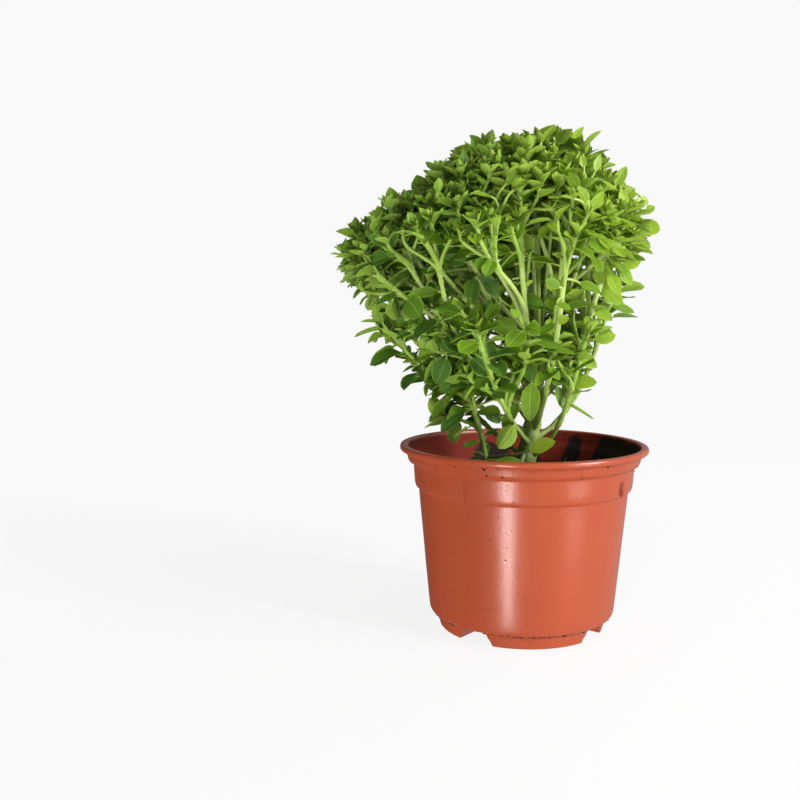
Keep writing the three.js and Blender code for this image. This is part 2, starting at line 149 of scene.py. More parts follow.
def add_studio():
    """An even pale surround, and five lamps. As a light the surround is brighter from the front
    right and from above than from the left."""
    scene = bpy.context.scene
    scene.view_settings.view_transform = "Standard"
    scene.view_settings.look = "None"
    world = bpy.data.worlds.new("studio")
    world.use_nodes = True
    nodes, links = world.node_tree.nodes, world.node_tree.links
    backdrop = nodes["Background"]
    backdrop.inputs["Color"].default_value = (0.947, 0.947, 0.947, 1)
    towards = nodes.new("ShaderNodeVectorMath")
    towards.operation = "DOT_PRODUCT"
    towards.inputs[1].default_value = unit(np.array([0.88, -0.42, 0.2])).tolist()
    links.new(nodes.new("ShaderNodeTexCoord").outputs["Generated"], towards.inputs[0])
    strength = nodes.new("ShaderNodeMapRange")
    for socket, number in enumerate((-1.0, 1.0, 0.02, 1.0), 1):
        strength.inputs[socket].default_value = number
    links.new(towards.outputs["Value"], strength.inputs[0])
    light = nodes.new("ShaderNodeBackground")
    links.new(strength.outputs[0], light.inputs["Strength"])
    either = nodes.new("ShaderNodeMixShader")
    links.new(nodes.new("ShaderNodeLightPath").outputs["Is Camera Ray"], either.inputs[0])
    links.new(light.outputs[0], either.inputs[1])
    links.new(backdrop.outputs[0], either.inputs[2])
    links.new(either.outputs[0], nodes["World Output"].inputs["Surface"])
    scene.world = world
    add_panel("left strip", (-215, -790, -200), POT_MIDDLE, 125, 420, 5.0, matt=False)
    add_panel("fill", (-420, -760, -320), POT_MIDDLE, 500, 400, 6.8, shine=False)
    add_panel("right panel", (840, -530, 40), POT_MIDDLE, 340, 700, 3.6, matt=False)
    add_panel("key", (900, -470, 440), CROWN_MIDDLE, 400, 300, 13.8)
    add_panel("overhead", (550, -150, 800), CROWN_MIDDLE, 500, 500, 1.2)


def add_floor(material):
    """A level round disc under the pot."""
    rim = FLOOR_RADIUS * circle(64)
    mesh = bpy.data.meshes.new("floor")
    mesh.from_pydata(metres(rim).tolist(), [], [list(range(len(rim)))])
    mesh.materials.append(material)
    floor = add_object("floor", mesh)
    floor.visible_shadow = floor.visible_glossy = False


# ---------------------------------------------------------------- materials
def colour(red, green, blue):
    """The linear colour of a display colour in steps of 0 to 255."""
    share = np.array([red, green, blue]) / 255
    linear = np.where(share <= 0.04045, share / 12.92, ((share + 0.055) / 1.055) ** 2.4)
    return (*linear.tolist(), 1.0)


class Finish:
    """A material on one Principled shader, with a short call for each node that feeds it."""

    def __init__(self, name):
        self.material = bpy.data.materials.new(name)
        self.material.use_nodes = True
        self.nodes = self.material.node_tree.nodes
        self.links = self.material.node_tree.links
        self.shader = self.nodes["Principled BSDF"]

    def feed(self, socket, value):
        if isinstance(value, bpy.types.NodeSocket):
            self.links.new(value, socket)
        else:
            socket.default_value = value

    def add(self, kind, inputs=(), **settings):
        node = self.nodes.new(kind)
        for key, value in settings.items():
            setattr(node, key, value)
        for key, value in dict(inputs).items():
            self.feed(node.inputs[key], value)
        return node

    def set(self, **inputs):
        for key, value in inputs.items():
            self.feed(self.shader.inputs[key.replace("_", " ")], value)

    def math(self, operation, *values):
        return self.add("ShaderNodeMath", enumerate(values), operation=operation).outputs[0]

    def times(self, first, *others):
        for other in others:
            first = self.math("MULTIPLY", first, other)
        return first

    def apart(self, first, second):
        return self.math("ABSOLUTE", self.math("SUBTRACT", first, second))

    def mix(self, share, first, second):
        return self.add("ShaderNodeMix", {0: share, 6: first, 7: second},
                        data_type="RGBA").outputs[2]

    def band(self, value, start, end, low=0.0, high=1.0):
        """`low` before start, `high` after end, and smooth between them."""
        node = self.add("ShaderNodeMapRange", {0: value, 1: start, 2: end, 3: low, 4: high},
                        interpolation_type="SMOOTHSTEP")
        return node.outputs[0]

    def place(self, kind="Object"):
        node = self.nodes.get("place") or self.add("ShaderNodeTexCoord", name="place")
        return node.outputs[kind]

    def moved(self, location=(0, 0, 0), scale=(1, 1, 1)):
        node = self.add("ShaderNodeMapping", {"Vector": self.place(), "Location": location,
                                              "Scale": scale})
        return node.outputs[0]

    def axes(self, vector):
        return self.add("ShaderNodeSeparateXYZ", {0: vector}).outputs

    def round_axis(self):
        """Distance from the pot's axis and height, in metres, and the bearing in degrees."""
        x, y, z = self.axes(self.moved(location=tuple(-POT_AXIS)))
        away = self.math("SQRT", self.math("ADD", self.times(x, x), self.times(y, y)))
        bearing = self.math("DIVIDE", self.math("ARCTAN2", x, self.times(y, -1.0)), DEGREE)
        return away, bearing, z

    def value(self, name):
        return self.add("ShaderNodeAttribute", attribute_name=name).outputs["Fac"]

    def noise(self, scale, detail=3.0, roughness=0.5, vector=None):
        node = self.add("ShaderNodeTexNoise", {"Vector": vector or self.place(), "Scale": scale,
                                               "Detail": detail, "Roughness": roughness})
        return node.outputs["Fac"]

    def ramp(self, value, stops):
        node = self.add("ShaderNodeValToRGB", {0: value})
        elements = node.color_ramp.elements
        for position, shade in stops[1:-1]:
            elements.new(position).color = shade
        elements[0].position, elements[0].color = stops[0]
        elements[-1].position, elements[-1].color = stops[-1]
        return node.outputs[0]

    def bump(self, height, depth, strength=1.0, after=None):
        """A bump of `depth` metres for each unit of height."""
        inputs = {"Height": height, "Distance": depth, "Strength": strength}
        return self.add("ShaderNodeBump", inputs | ({"Normal": after} if after else {})).outputs[0]


def leaf_finish():
    """Leaf: u runs from root to tip, and v across the upper face to 0.5, then back below."""
    f = Finish("leaf")
    u, v, _ = f.axes(f.place("UV"))
    across = f.math("ABSOLUTE", f.math("MULTIPLY_ADD", f.math("FRACT", f.times(v, 2.0)), 2.0, -1.0))
    under = f.math("GREATER_THAN", v, 0.5)
    age, tone = f.value("age"), f.value("tone")
    # Older leaves, which sit lower and further into the crown, get a deeper, darker green: partly
    # their own colour, partly painted shade from inside the crown.
    fresh = f.ramp(age, [(0, colour(157, 182, 52)), (0.3, colour(137, 166, 43)),
                         (0.65, colour(124, 156, 36)), (1, colour(114, 148, 40))])
    deep = f.ramp(age, [(0, colour(132, 162, 32)), (0.3, colour(106, 144, 26)),
                        (0.65, colour(84, 122, 24)), (1, colour(66, 102, 24))])
    top = f.mix(tone, fresh, deep)
    # Painted sheen: a tone past 0.8 mixes in a bluish green for the reflection such leaves show.
    top = f.mix(f.band(tone, 0.8, 0.92, 0, 0.32), top, colour(66, 116, 62))
    top = f.mix(f.band(f.noise(260, 2), 0.35, 0.7, 0, 0.22), top, colour(74, 112, 34))
    along_veins = f.math("FRACT", f.math("MULTIPLY_ADD", u, 8.0, f.times(across, -1.5)))
    vein = f.times(f.band(f.apart(along_veins, 0.5), 0.40, 0.5), f.band(across, 0.55, 0.9, 1, 0))
    midrib = f.band(across, 0.04, 0.16, 1, 0)
    ribs = f.math("MAXIMUM", f.times(vein, 0.45), midrib)
    margin = f.band(across, 0.84, 0.98)
    stalk = f.band(u, 0.12, 0.3, 1, 0)
    top = f.mix(f.times(ribs, 0.22), top, colour(158, 184, 82))
    below = f.mix(0.6, top, colour(138, 166, 62))
    below = f.mix(f.times(ribs, 0.4), below, colour(162, 186, 92))
    shade = f.mix(under, top, below)
    shade = f.mix(f.times(margin, 0.45), shade, colour(172, 194, 72))
    shade = f.mix(f.times(stalk, 0.7), shade, colour(156, 182, 84))
    relief = f.math("ADD", f.times(ribs, -1.0), f.times(f.noise(900, 3), 0.5))
    f.set(Base_Color=shade, Normal=f.bump(relief, 0.0003, 0.6), IOR=1.42,
          Roughness=f.band(f.math("ADD", under, f.noise(300, 2)), 0.3, 1.6, 0.4, 0.72),
          Specular_IOR_Level=0.25, Subsurface_Weight=0.12, Subsurface_Radius=(0.6, 1.0, 0.15),
          Subsurface_Scale=0.0012)
    return f.material


def stem_finish():
    """Stem: v runs round it, with four ribs, and its foot near the soil is painted dark as the
    shade under the crown.
    """
    f = Finish("green_stem")
    v = f.axes(f.place("UV"))[1]
    age, tone = f.value("age"), f.value("tone")
    shade = f.ramp(age, [(0, colour(136, 168, 56)), (0.4, colour(160, 184, 84)),
                         (0.75, colour(186, 204, 116)), (1, colour(146, 168, 80))])
    ribs = f.math("SINE", f.times(v, 8 * math.pi))
    shade = f.mix(f.band(ribs, 0.2, 1, 0, 0.4), shade, colour(112, 142, 54))
    streak = f.noise(120, 4, 0.6, f.moved(scale=(3, 3, 0.4)))
    shade = f.mix(f.band(streak, 0.45, 0.75, 0, 0.4), shade, colour(120, 146, 66))
    shade = f.mix(f.times(tone, 0.25), shade, colour(116, 146, 62))
    # Painted shade: the stems darken towards the soil, where the crown shades them.
    height = f.axes(f.place())[2]
    shade = f.mix(f.band(height, 0.072, 0.122, 1.0, 0), shade, colour(52, 64, 24))
    relief = f.math("ADD", f.times(ribs, 0.3), f.noise(1500, 3))
    f.set(Base_Color=shade, Roughness=f.band(streak, 0.3, 0.7, 0.42, 0.62), IOR=1.42,
          Normal=f.bump(relief, 0.0002, 0.5), Subsurface_Weight=0.15,
          Subsurface_Radius=(0.8, 1.0, 0.3), Subsurface_Scale=0.0015)
    return f.material


SLOT_BEARING = 60.6  # the collar's slots are here and half a turn on
LINE_BEARINGS = -3.7, 26.8
# Bearing as a share of a turn from the back, and how high the nearly black patches above the soil
# reach there.
DARK_PATCH_REACH = [(0.0, 0.3), (0.06, 0.75), (0.1, 0.2), (0.2, 0.5), (0.55, 0.3), (0.7, 0.2),
               (0.745, 0.9), (0.87, 0.95), (0.88, 0.15), (0.896, 0.1), (0.904, 0.85),
               (0.926, 0.85), (0.935, 0.15), (0.96, 0.1), (0.98, 0.5), (1.0, 0.3)]


def moulding_lines(f, radius, bearing, z):
    """Two fine upright lines across the second band."""
    away = f.math("MINIMUM", *(f.apart(bearing, place) for place in LINE_BEARINGS))
    on_band = f.times(f.band(z, 0.0885, 0.0892), f.band(z, 0.0930, 0.0936, 1, 0))
    return f.times(f.band(away, 0.15, 0.4, 1, 0), on_band, f.band(radius, 0.0598, 0.0602))


def dark_patches(f, bearing, z):
    """Nearly black patches above the soil, up to an uneven edge that follows DARK_PATCH_REACH."""
    reach = f.ramp(f.math("MULTIPLY_ADD", bearing, 1 / 360, 0.5),
                   [(place, (share, share, share, 1)) for place, share in DARK_PATCH_REACH])
    edge = f.math("MULTIPLY_ADD", f.noise(120, 6, 0.65), 0.02, f.times(reach, 0.026))
    return f.band(f.math("SUBTRACT", f.math("ADD", edge, 0.062), z), -0.0007, 0.0007)


def slot_pocket_shade(f, radius, bearing, z):
    """The bottoms of the collar's two slots, which are painted darker as the shade in these
    recesses.
    """
    deep = f.times(f.band(z, 0.0752, 0.0757), f.band(z, 0.0815, 0.0820, 1, 0),
                   f.band(radius, 0.0566, 0.0571, 1, 0))
    half_turn = f.math("MODULO", f.math("ADD", bearing, 360.0), 180.0)
    return f.times(deep, f.band(f.apart(half_turn, SLOT_BEARING), 1.1, 1.4, 1, 0))


def graze_mark(f, bearing, z):
    """A thin bowed scratch low on the wall's left."""
    bow = f.math("POWER", f.math("ADD", bearing, 20.5), 2.0)
    line = f.band(f.apart(z, f.math("MULTIPLY_ADD", bow, 0.00004, 0.0205)), 0.0001, 0.0005, 1, 0)
    return f.times(line, f.band(bearing, -25, -22), f.band(bearing, -12, -9.5, 1, 0))


def pot_finish():
    """Moulded plastic: a glossy brick red with faint flow and specks of soil; inside the lip a
    darker red that is painted shade, with nearly black patches above the soil.
    """
    f = Finish("pot_plastic")
    radius, bearing, z = f.round_axis()
    inner = f.value("inner")
    flow = f.noise(34, 4, 0.55, f.moved(scale=(1, 1, 0.22)))
    shade = f.mix(f.band(flow, 0.15, 0.85), colour(150, 63, 36), colour(157, 69, 40))
    shade = f.mix(f.band(f.noise(700, 2), 0.5, 0.8, 0, 0.12), shade, colour(150, 62, 42))
    dots = f.add("ShaderNodeTexVoronoi", {"Vector": f.place(), "Scale": 170.0})
    speck = f.times(f.band(dots.outputs["Distance"], 0.06, 0.1, 1, 0),
                    f.band(f.axes(dots.outputs["Color"])[0], 0.86, 0.88))
    # Painted shade: inside the lip the wall is mixed to a darker red, for the shade within the pot
    # under the plant.
    inside = f.times(f.band(radius, 0.0606, 0.0612, 1, 0), f.band(z, 0.068, 0.0685), inner)
    # Nearly black patches on the inner wall above the soil.
    dark_patch = f.times(dark_patches(f, bearing, z), inside)
    # Painted shade: the slots' bottoms are mixed darker, for the shade in these recesses.
    pocket_shade = f.times(slot_pocket_shade(f, radius, bearing, z), f.math("SUBTRACT", 1.0, inner))
    for mask, amount, over in ((speck, 0.75, colour(84, 34, 24)),
                               (moulding_lines(f, radius, bearing, z), 0.6, colour(110, 44, 30)),
                               (inside, 0.94, colour(112, 26, 6)),
                               (dark_patch, 0.97, colour(20, 13, 10)),
                               (pocket_shade, 0.5, colour(72, 20, 10)),
                               (graze_mark(f, bearing, z), 0.55, colour(120, 40, 26))):
        shade = f.mix(f.times(mask, amount), shade, over)
    rough = f.band(f.noise(50, 4, 0.6), 0.2, 0.8, 0.22, 0.28)
    for mask, least in ((inside, 0.85), (dark_patch, 0.9)):
        rough = f.math("MAXIMUM", rough, f.times(mask, least))
    wave = f.bump(f.noise(26, 2, 0.5, f.moved(scale=(1, 1, 0.5))), 0.0012, 0.35)
    scuff = f.math("ADD", f.noise(1200, 2), f.times(speck, 1.5))
    f.set(Base_Color=shade, Roughness=rough, IOR=1.5, Specular_IOR_Level=0.36,
          Normal=f.bump(scuff, 0.00008, 0.5, wave))
    return f.material


def soil_finish():
    """Damp potting soil: nearly black crumbs with a few pale fibres."""
    f = Finish("soil")
    grain = f.noise(500, 6, 0.65)
    shade = f.ramp(grain, [(0.3, colour(22, 14, 10)), (0.55, colour(48, 34, 26)),
                           (0.72, colour(74, 54, 40)), (0.85, colour(104, 82, 60))])
    f.set(Base_Color=shade, Roughness=f.band(grain, 0.3, 0.8, 0.75, 0.98), IOR=1.35,
          Specular_IOR_Level=0.12, Normal=f.bump(f.noise(1400, 5, 0.7), 0.0008, 0.9))
    return f.material


def hair_finish():
    """Root hair: dry and whitish."""
    f = Finish("root_hair")
    shade = f.mix(f.band(f.noise(800, 3), 0.4, 0.7), colour(196, 184, 160), colour(140, 122, 96))
    f.set(Base_Color=shade, Roughness=0.8)
    return f.material


def floor_finish():
    """Pale matt floor, which fades into the surround's own brightness away from the pot."""
    f = Finish("floor")
    away = f.round_axis()[0]
    f.set(Base_Color=f.mix(f.band(away, 0.35, 1.2), (0.1, 0.1, 0.1, 1), (0, 0, 0, 1)),
          Roughness=1.0, Specular_IOR_Level=0.0, Emission_Color=(1.0, 1.0, 1.0, 1),
          Emission_Strength=f.band(away, 0.1, 1.2, 0.865, 0.947))
    return f.material


# ---------------------------------------------------------------- meshes
def ring_bodies(rings, first, last):
    """Closed bodies from rings of points. `rings` is (bodies, rings, points, 3), and a pole closes
    each end. The UV's u is the share of the rings, and v goes once round.
    Returns vertices, triangles, quads and the UV of each corner of both."""
    count, rows, columns = rings.shape[:3]
    vertices = np.concatenate([first[:, None], rings.reshape(count, -1, 3), last[:, None]], 1)
    row, column = (a.ravel() for a in np.indices((rows - 1, columns)))
    after = (column + 1) % columns
    quads = 1 + np.stack([row * columns + column, row * columns + after,
                          (row + 1) * columns + after, (row + 1) * columns + column], -1)
    share = np.arange(rows) / max(rows - 1, 1)
    v0, v1 = column / columns, (column + 1) / columns
    quad_uv = np.stack([np.stack([share[row], v0], -1), np.stack([share[row], v1], -1),
                        np.stack([share[row + 1], v1], -1), np.stack([share[row + 1], v0], -1)], 1)
    k = np.arange(columns)
    after = (k + 1) % columns
    end = (rows - 1) * columns
    triangles = np.concatenate([np.stack([0 * k, 1 + after, 1 + k], -1),
                                np.stack([0 * k + rows * columns + 1, 1 + end + k,
                                          1 + end + after], -1)])
    mid, v0, v1, nought = (k + 0.5) / columns, k / columns, (k + 1) / columns, 0.0 * k
    cap = lambda u, order: np.stack([np.stack([nought + u, w], -1) for w in order], 1)
    triangle_uv = np.concatenate([cap(0, (mid, v1, v0)), cap(1, (mid, v0, v1))])
    shift = np.arange(count)[:, None, None] * (rows * columns + 2)
    return (vertices.reshape(-1, 3), (triangles[None] + shift).reshape(-1, 3),
            (quads[None] + shift).reshape(-1, 4), np.tile(triangle_uv, (count, 1, 1)),
            np.tile(quad_uv, (count, 1, 1)))


def capped(rings):
    """One closed body from its rings, with a pole in the middle of each end."""
    return ring_bodies(rings[None], rings[:1].mean(1), rings[-1:].mean(1))


def joined(bodies):
    """Several results of ring_bodies as one."""
    starts = np.cumsum([0] + [len(b[0]) for b in bodies[:-1]])
    return [np.concatenate([b[part] + s * (part in (1, 2)) for b, s in zip(bodies, starts)])
            for part in range(5)]


def make_piece(name, body, material, replaces=(), values=(), sharp=60):
    """A mesh object from ring_bodies' result. `values` are its named numbers, one for each point
    or one for all."""
    vertices, triangles, quads, triangle_uv, quad_uv = body
    mesh = bpy.data.meshes.new(name)
    mesh.from_pydata(metres(vertices), [], quads.tolist() + triangles.tolist())
    layer = mesh.uv_layers.new(name="UVMap")
    corners = np.concatenate([quad_uv.reshape(-1, 2), triangle_uv.reshape(-1, 2)])
    layer.data.foreach_set("uv", corners.astype(np.float32).ravel())
    for key, numbers in dict(values).items():
        attribute = mesh.attributes.new(key, "FLOAT", "POINT")
        attribute.data.foreach_set("value", np.full(len(vertices), numbers, np.float32))
    mesh.polygons.foreach_set("use_smooth", np.ones(len(mesh.polygons), bool))
    mesh.set_sharp_from_angle(angle=sharp * DEGREE)
    mesh.materials.append(material)
    mesh.update()
    piece = add_object(name, mesh)
    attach(piece, "root")
    if replaces:
        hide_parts(*replaces)
    return piece


# ---------------------------------------------------------------- pot
CHANNEL_BEARING = 58.5  # middle of the first channel between the feet, from the front towards +X
FOOT_TOP, FLOOR_TOP = 7.6, 8.9  # heights of the channels and of the floor inside
PANEL_EDGE = 61.0  # bearing of the collar's upright edge, again every quarter turn
QUARTER = 56  # columns in a quarter turn
WALL_ENDS = (48.7, 9.2), (54.95, 73.9)  # radius and height below and above
COLLAR_RADIUS, COLLAR_CORNER = 57, 2.2
MIDDLE_START, MIDDLE_END = 8.5, 14.2  # radii between which the foot's raised middle falls to 0
HOLE_AWAY, HOLE_RADIUS, HOLE_CUT = 32, 4.5, (5, 11)
SLOT_HALF, SLOT_MIDDLE, SLOT_CUT = (1.15, 2.8), 78.7, (54.8, 59)


def rounded(profile):
    """The profile's points [radius, height, fillet], each corner turned into an arc of 4 steps: a
    quadratic curve that starts and ends at the fillet's distance from the corner."""
    points = []
    for i, (radius, height, fillet) in enumerate(profile):
        corner = np.array([radius, height], float)
        if fillet == 0:
            points.append(corner)
            continue
        before = np.array(profile[i - 1][:2], float)
        after = np.array(profile[i + 1][:2], float)
        start, end = (corner + unit(p - corner) * min(fillet, 0.48 * np.linalg.norm(p - corner))
                      for p in (before, after))
        for t in (0, 0.25, 0.5, 0.75, 1):
            points.append((1 - t) ** 2 * start + 2 * t * (1 - t) * corner + t * t * end)
    return np.array(points)


# Radius, height and fillet, from the middle of the foot, over the lip and down to the floor.
POT_PROFILE = [(radius, 0, 0) for radius in (3, 8.5, 10.4, 12.3, 14.2, 17, 22, 28, 34, 39)] + [
    (43.1, 0, 0.8), (44.0, 3.9, 0), (44.7, 7.5, 0.5), (47.4, 7.8, 0.5), (48.6, 9.3, 1.0),
    (49.2, 14, 0), (49.8, 20, 0), (51.2, 33.7, 0), (52.9, 52, 0), (54.3, 66, 0),
    (54.95, 73.9, 0.35), (56.6, 75.0, 0.7), (57.1, 77, 0), (57.3, 79.5, 0), (57.5, 82, 0),
    (57.6, 84, 0), (57.8, 86.9, 0.5), (60.2, 88.4, 0.5), (60.8, 89.4, 0.3),
    (61.6, 93.3, 0.3), (63.3, 93.5, 0.5), (65.0, 94.4, 0.9), (64.9, 97.0, 1.3), (61.2, 97.0, 0.9),
    (59.4, 90.4, 1.0), (56.7, 87.6, 1.0), (54.1, 80.2, 0.8), (53.7, 74, 0), (53.2, 70, 0),
    (50, 34, 0), (47.6, 11, 1.5), (46, FLOOR_TOP, 1.0), (30, FLOOR_TOP, 0),
]


def foot_angles(radius):
    """Bearings across half a channel and half a foot, from the channel's middle, at each radius.
    A column keeps its distance from the channel's middle line while that line's angle allows."""
    lift = np.array([7.6, 7.6, 7.6, 7.55, 7.3, 6.9, 5.2, 3.6, 2.0, 0.7, 0.2, 0.0])
    aside = np.array([0, 2, 4, 5.6, 6.1, 6.4, 7.2, 8.05, 8.9, 9.6, 9.9, 10.4])
    half = QUARTER // 2
    count = len(aside)
    side = np.arcsin(np.clip(aside[None] / radius[:, None], 0, 1))
    rest = np.arange(1, half - count + 2) / (half - count + 1)
    foot = side[:, -1:] + (math.pi / 4 - side[:, -1:]) * rest[None]
    angle = np.concatenate([side, foot], 1)
    even = (math.pi / 4) * np.arange(half + 1) / half
    angle = np.where(side[:, -1:] < 38 * DEGREE, angle, np.minimum(angle, even[None]))
    return angle, np.concatenate([lift, np.zeros(half - count + 1)])


def pot_surface():
    """The turned profile, with these changes. Low points keep their radius and are lifted to the
    channels' height there. The collar's step fades before each upright edge and starts again
    sharply after it, with a round lower corner. The wall is out of round by a tenth of a
    millimetre."""
    profile = rounded(POT_PROFILE)
    radius, height = profile[:, 0], profile[:, 1]
    top = int(np.argmax(height))
    outer = np.arange(len(profile)) <= top
    half, lift_half = foot_angles(radius)
    angle = np.concatenate([half[:, :-1], math.pi / 2 - half[:, :0:-1]], 1)
    lift = np.concatenate([lift_half[:-1], lift_half[:0:-1]])
    foot_bearing = CHANNEL_BEARING * DEGREE + angle
    t = np.arange(QUARTER) / QUARTER
    spread = (math.pi / 2) * (t - 0.62 * np.sin(2 * math.pi * t) / (2 * math.pi))
    wall_bearing = PANEL_EDGE * DEGREE + spread[None]
    share = np.where(outer, smooth(height, 8.5, 45), 1.0)[:, None]
    bearing = foot_bearing * (1 - share) + wall_bearing * share
    middle = np.clip((MIDDLE_END - radius) / (MIDDLE_END - MIDDLE_START), 0, 1) * FOOT_TOP
    z = np.where(outer[:, None] & (height[:, None] < 8),
                 np.maximum(height[:, None], np.maximum(middle[:, None], lift[None])),
                 height[:, None])
    # the collar's step, less where it fades out towards the upright edge
    (low_radius, low), (high_radius, high) = WALL_ENDS
    wall_line = low_radius + (height - low) * (high_radius - low_radius) / (high - low)
    excess = np.clip(radius - wall_line - 0.25, 0, None)
    window = smooth(height, 73, 74) * (1 - smooth(height, 80.5, 84.5)) * outer
    fade = smooth(t, 0.76, 0.985)
    r = radius[:, None] - (excess * window)[:, None] * fade[None]
    # its lower corner just after the edge is an arc
    within = np.clip(COLLAR_CORNER - COLLAR_RADIUS * spread, 0, None)
    arc = COLLAR_CORNER - np.sqrt(COLLAR_CORNER ** 2 - within ** 2)
    step = smooth(height, 73.3, 73.9) * (1 - smooth(height, 75.5, 81)) * outer
    z = z + arc[None] * step[:, None]
    around = np.concatenate([bearing + k * math.pi / 2 for k in range(4)], 1)
    r, z = np.tile(r, (1, 4)), np.tile(z, (1, 4))
    wobble = 0.10 * np.sin(2 * around + 0.6) + 0.06 * np.sin(3 * around + height[:, None] / 30)
    r = r + wobble * smooth(height, 12, 40)[:, None]
    return round_pot(r, around, z), np.repeat(~outer, around.shape[1])


def cut_openings(pot):
    """Four round holes through the pot's floor, one in each channel, and a shallow slot at two
    opposite upright edges of the collar."""
    bodies = []
    for arm in range(4):
        middle = round_pot(HOLE_AWAY, (CHANNEL_BEARING + 90 * arm) * DEGREE, 0)
        ring = middle + HOLE_RADIUS * circle(24)
        bodies.append(capped(np.array([ring + UP * z for z in HOLE_CUT])))
    aside, lift = (half * (np.sign(wave) * np.abs(wave) ** 0.6)[:, None]
                   for half, wave in zip(SLOT_HALF, circle(24).T))
    for bearing in (SLOT_BEARING * DEGREE, SLOT_BEARING * DEGREE + math.pi):
        out = round_pot(1, bearing, 0)
        slot = aside * np.cross(UP, out) + (lift + SLOT_MIDDLE) * UP
        bodies.append(capped(np.array([out * r + slot for r in SLOT_CUT])[:, ::-1]))
    vertices, triangles, quads, _, _ = joined(bodies)
    mesh = bpy.data.meshes.new("drill")
    mesh.from_pydata(metres(vertices), [], quads.tolist() + triangles.tolist())
    drill = add_object("drill", mesh)
    cut = pot.modifiers.new("openings", "BOOLEAN")
    cut.operation, cut.solver, cut.object = "DIFFERENCE", "EXACT", drill
    depsgraph = bpy.context.evaluated_depsgraph_get()
    shape = bpy.data.meshes.new_from_object(pot.evaluated_get(depsgraph))
    pot.modifiers.remove(cut)
    pot.data = shape
    bpy.data.objects.remove(drill)


def make_pot(material):
    """The pot. Its number `inner` is 1 inside the lip and 0 outside."""
    points, inner = pot_surface()
    body = ring_bodies(points[None], UP[None] * FOOT_TOP, UP[None] * FLOOR_TOP)
    values = {"inner": np.concatenate([[0], inner, [1]]).astype(float)}
    pot = make_piece("nursery_pot", body, material, ["pot"], values, sharp=48)
    cut_openings(pot)


# ---------------------------------------------------------------- soil
SOIL_LEVEL, SOIL_RADIUS = 70.6, 52.6
SOIL_SIDE = np.array([[52.4, 66], [47, 20], [46, 10]])  # radius and height, down to its foot


def ripple(points, seed, scale):
    """A smooth random height of about -1 to 1 at each point: the mean of 12 sine waves that run in
    random directions, with wavelengths round `scale`."""
    rng = np.random.default_rng(seed)
    waves = rng.normal(size=(12, points.shape[-1])) * (2 * math.pi / scale) * 0.6
    phase = rng.uniform(0, 2 * math.pi, 12)
    return np.sin(points @ waves.T + phase).sum(-1) / 3.4


def on_soil(radius, bearing, lift=0.0):
    """Places over the soil, which is level, rough, a little mounded at the trunk, and heaped to
    the right and the back against the wall."""
    places = round_pot(radius, bearing, lift)
    x, y = places[..., 0], places[..., 1]
    heap = smooth(np.hypot(x, y), 38, 54) * smooth(0.75 * x + 0.55 * y, 8, 52)
    rough = sum(depth * ripple(places[..., :2], seed, scale)
                for seed, (depth, scale) in enumerate(((0.8, 14), (0.45, 5), (0.3, 2.4)), 1))
    mound = 1.2 * np.exp(-((x - 3) ** 2 + y ** 2) / 60)
    places[..., 2] += SOIL_LEVEL + rough + mound + 5.5 * heap
    return places


def lumps(centres, sizes, seed):
    """Small uneven crumbs: three rings of six points and two poles, each point moved at random."""
    rng = np.random.default_rng(seed)
    count = len(centres)
    rings = np.array([radius * circle(6) + height * UP
                      for radius, height in ((0.72, -0.6), (1.0, 0.0), (0.7, 0.62))])
    rings = rings * (1 + rng.uniform(-0.3, 0.3, (count, 3, 6, 1)))
    poles = np.tile([-UP, UP], (count, 1, 1))
    shape = rng.uniform(0.6, 1.3, (count, 1, 3)) * np.asarray(sizes)[:, None, None]
    turned = np.linalg.qr(rng.normal(size=(count, 3, 3)))[0]
    turned *= np.sign(np.linalg.det(turned))[:, None, None]
    place = lambda p: np.einsum("nij,nkj->nki", turned, p * shape) + centres[:, None]
    rings = place(rings.reshape(count, 18, 3)).reshape(count, 3, 6, 3)
    poles = place(poles)
    return ring_bodies(rings, poles[:, 0], poles[:, 1])


def make_soil(material):
    """The soil, and 520 crumbs strewn over it."""
    radii = np.concatenate([np.linspace(1, SOIL_RADIUS, 44), SOIL_SIDE[:, 0]])
    points = on_soil(radii[:, None], turns(150))
    points[-len(SOIL_SIDE):, :, 2] = SOIL_SIDE[:, 1:]
    body = ring_bodies(points[None, ::-1], UP[None] * SOIL_SIDE[-1, 1],
                       UP[None] * (SOIL_LEVEL + 0.8))
    rng = np.random.default_rng(21)
    count = 520
    distance, bearing = 51.5 * np.sqrt(rng.uniform(0, 1, count)), rng.uniform(0, 2 * math.pi, count)
    sizes = 0.45 + 1.5 * rng.uniform(0, 1, count) ** 3
    crumbs = lumps(on_soil(distance, bearing, 0.2 * sizes), sizes, 22)
    make_piece("potting_soil", joined([body, crumbs]), material, ["soil"], sharp=70)


# Bearing, height and size of the larger crumbs that stick to the pot's outside.
STUCK_CRUMBS = [(-15.9, 89.6, 0.6), (-8.8, 89.4, 0.85), (-10.5, 92.9, 0.45), (-17.8, 92.8, 0.5),
                (-16.6, 92.3, 0.6), (8.5, 93.3, 0.45), (26.9, 93.3, 0.4), (41, 93.0, 0.65),
                (25.1, 92.6, 0.3), (-31, 92.6, 0.4), (-44, 89.2, 0.5), (84, 84.4, 0.6)]
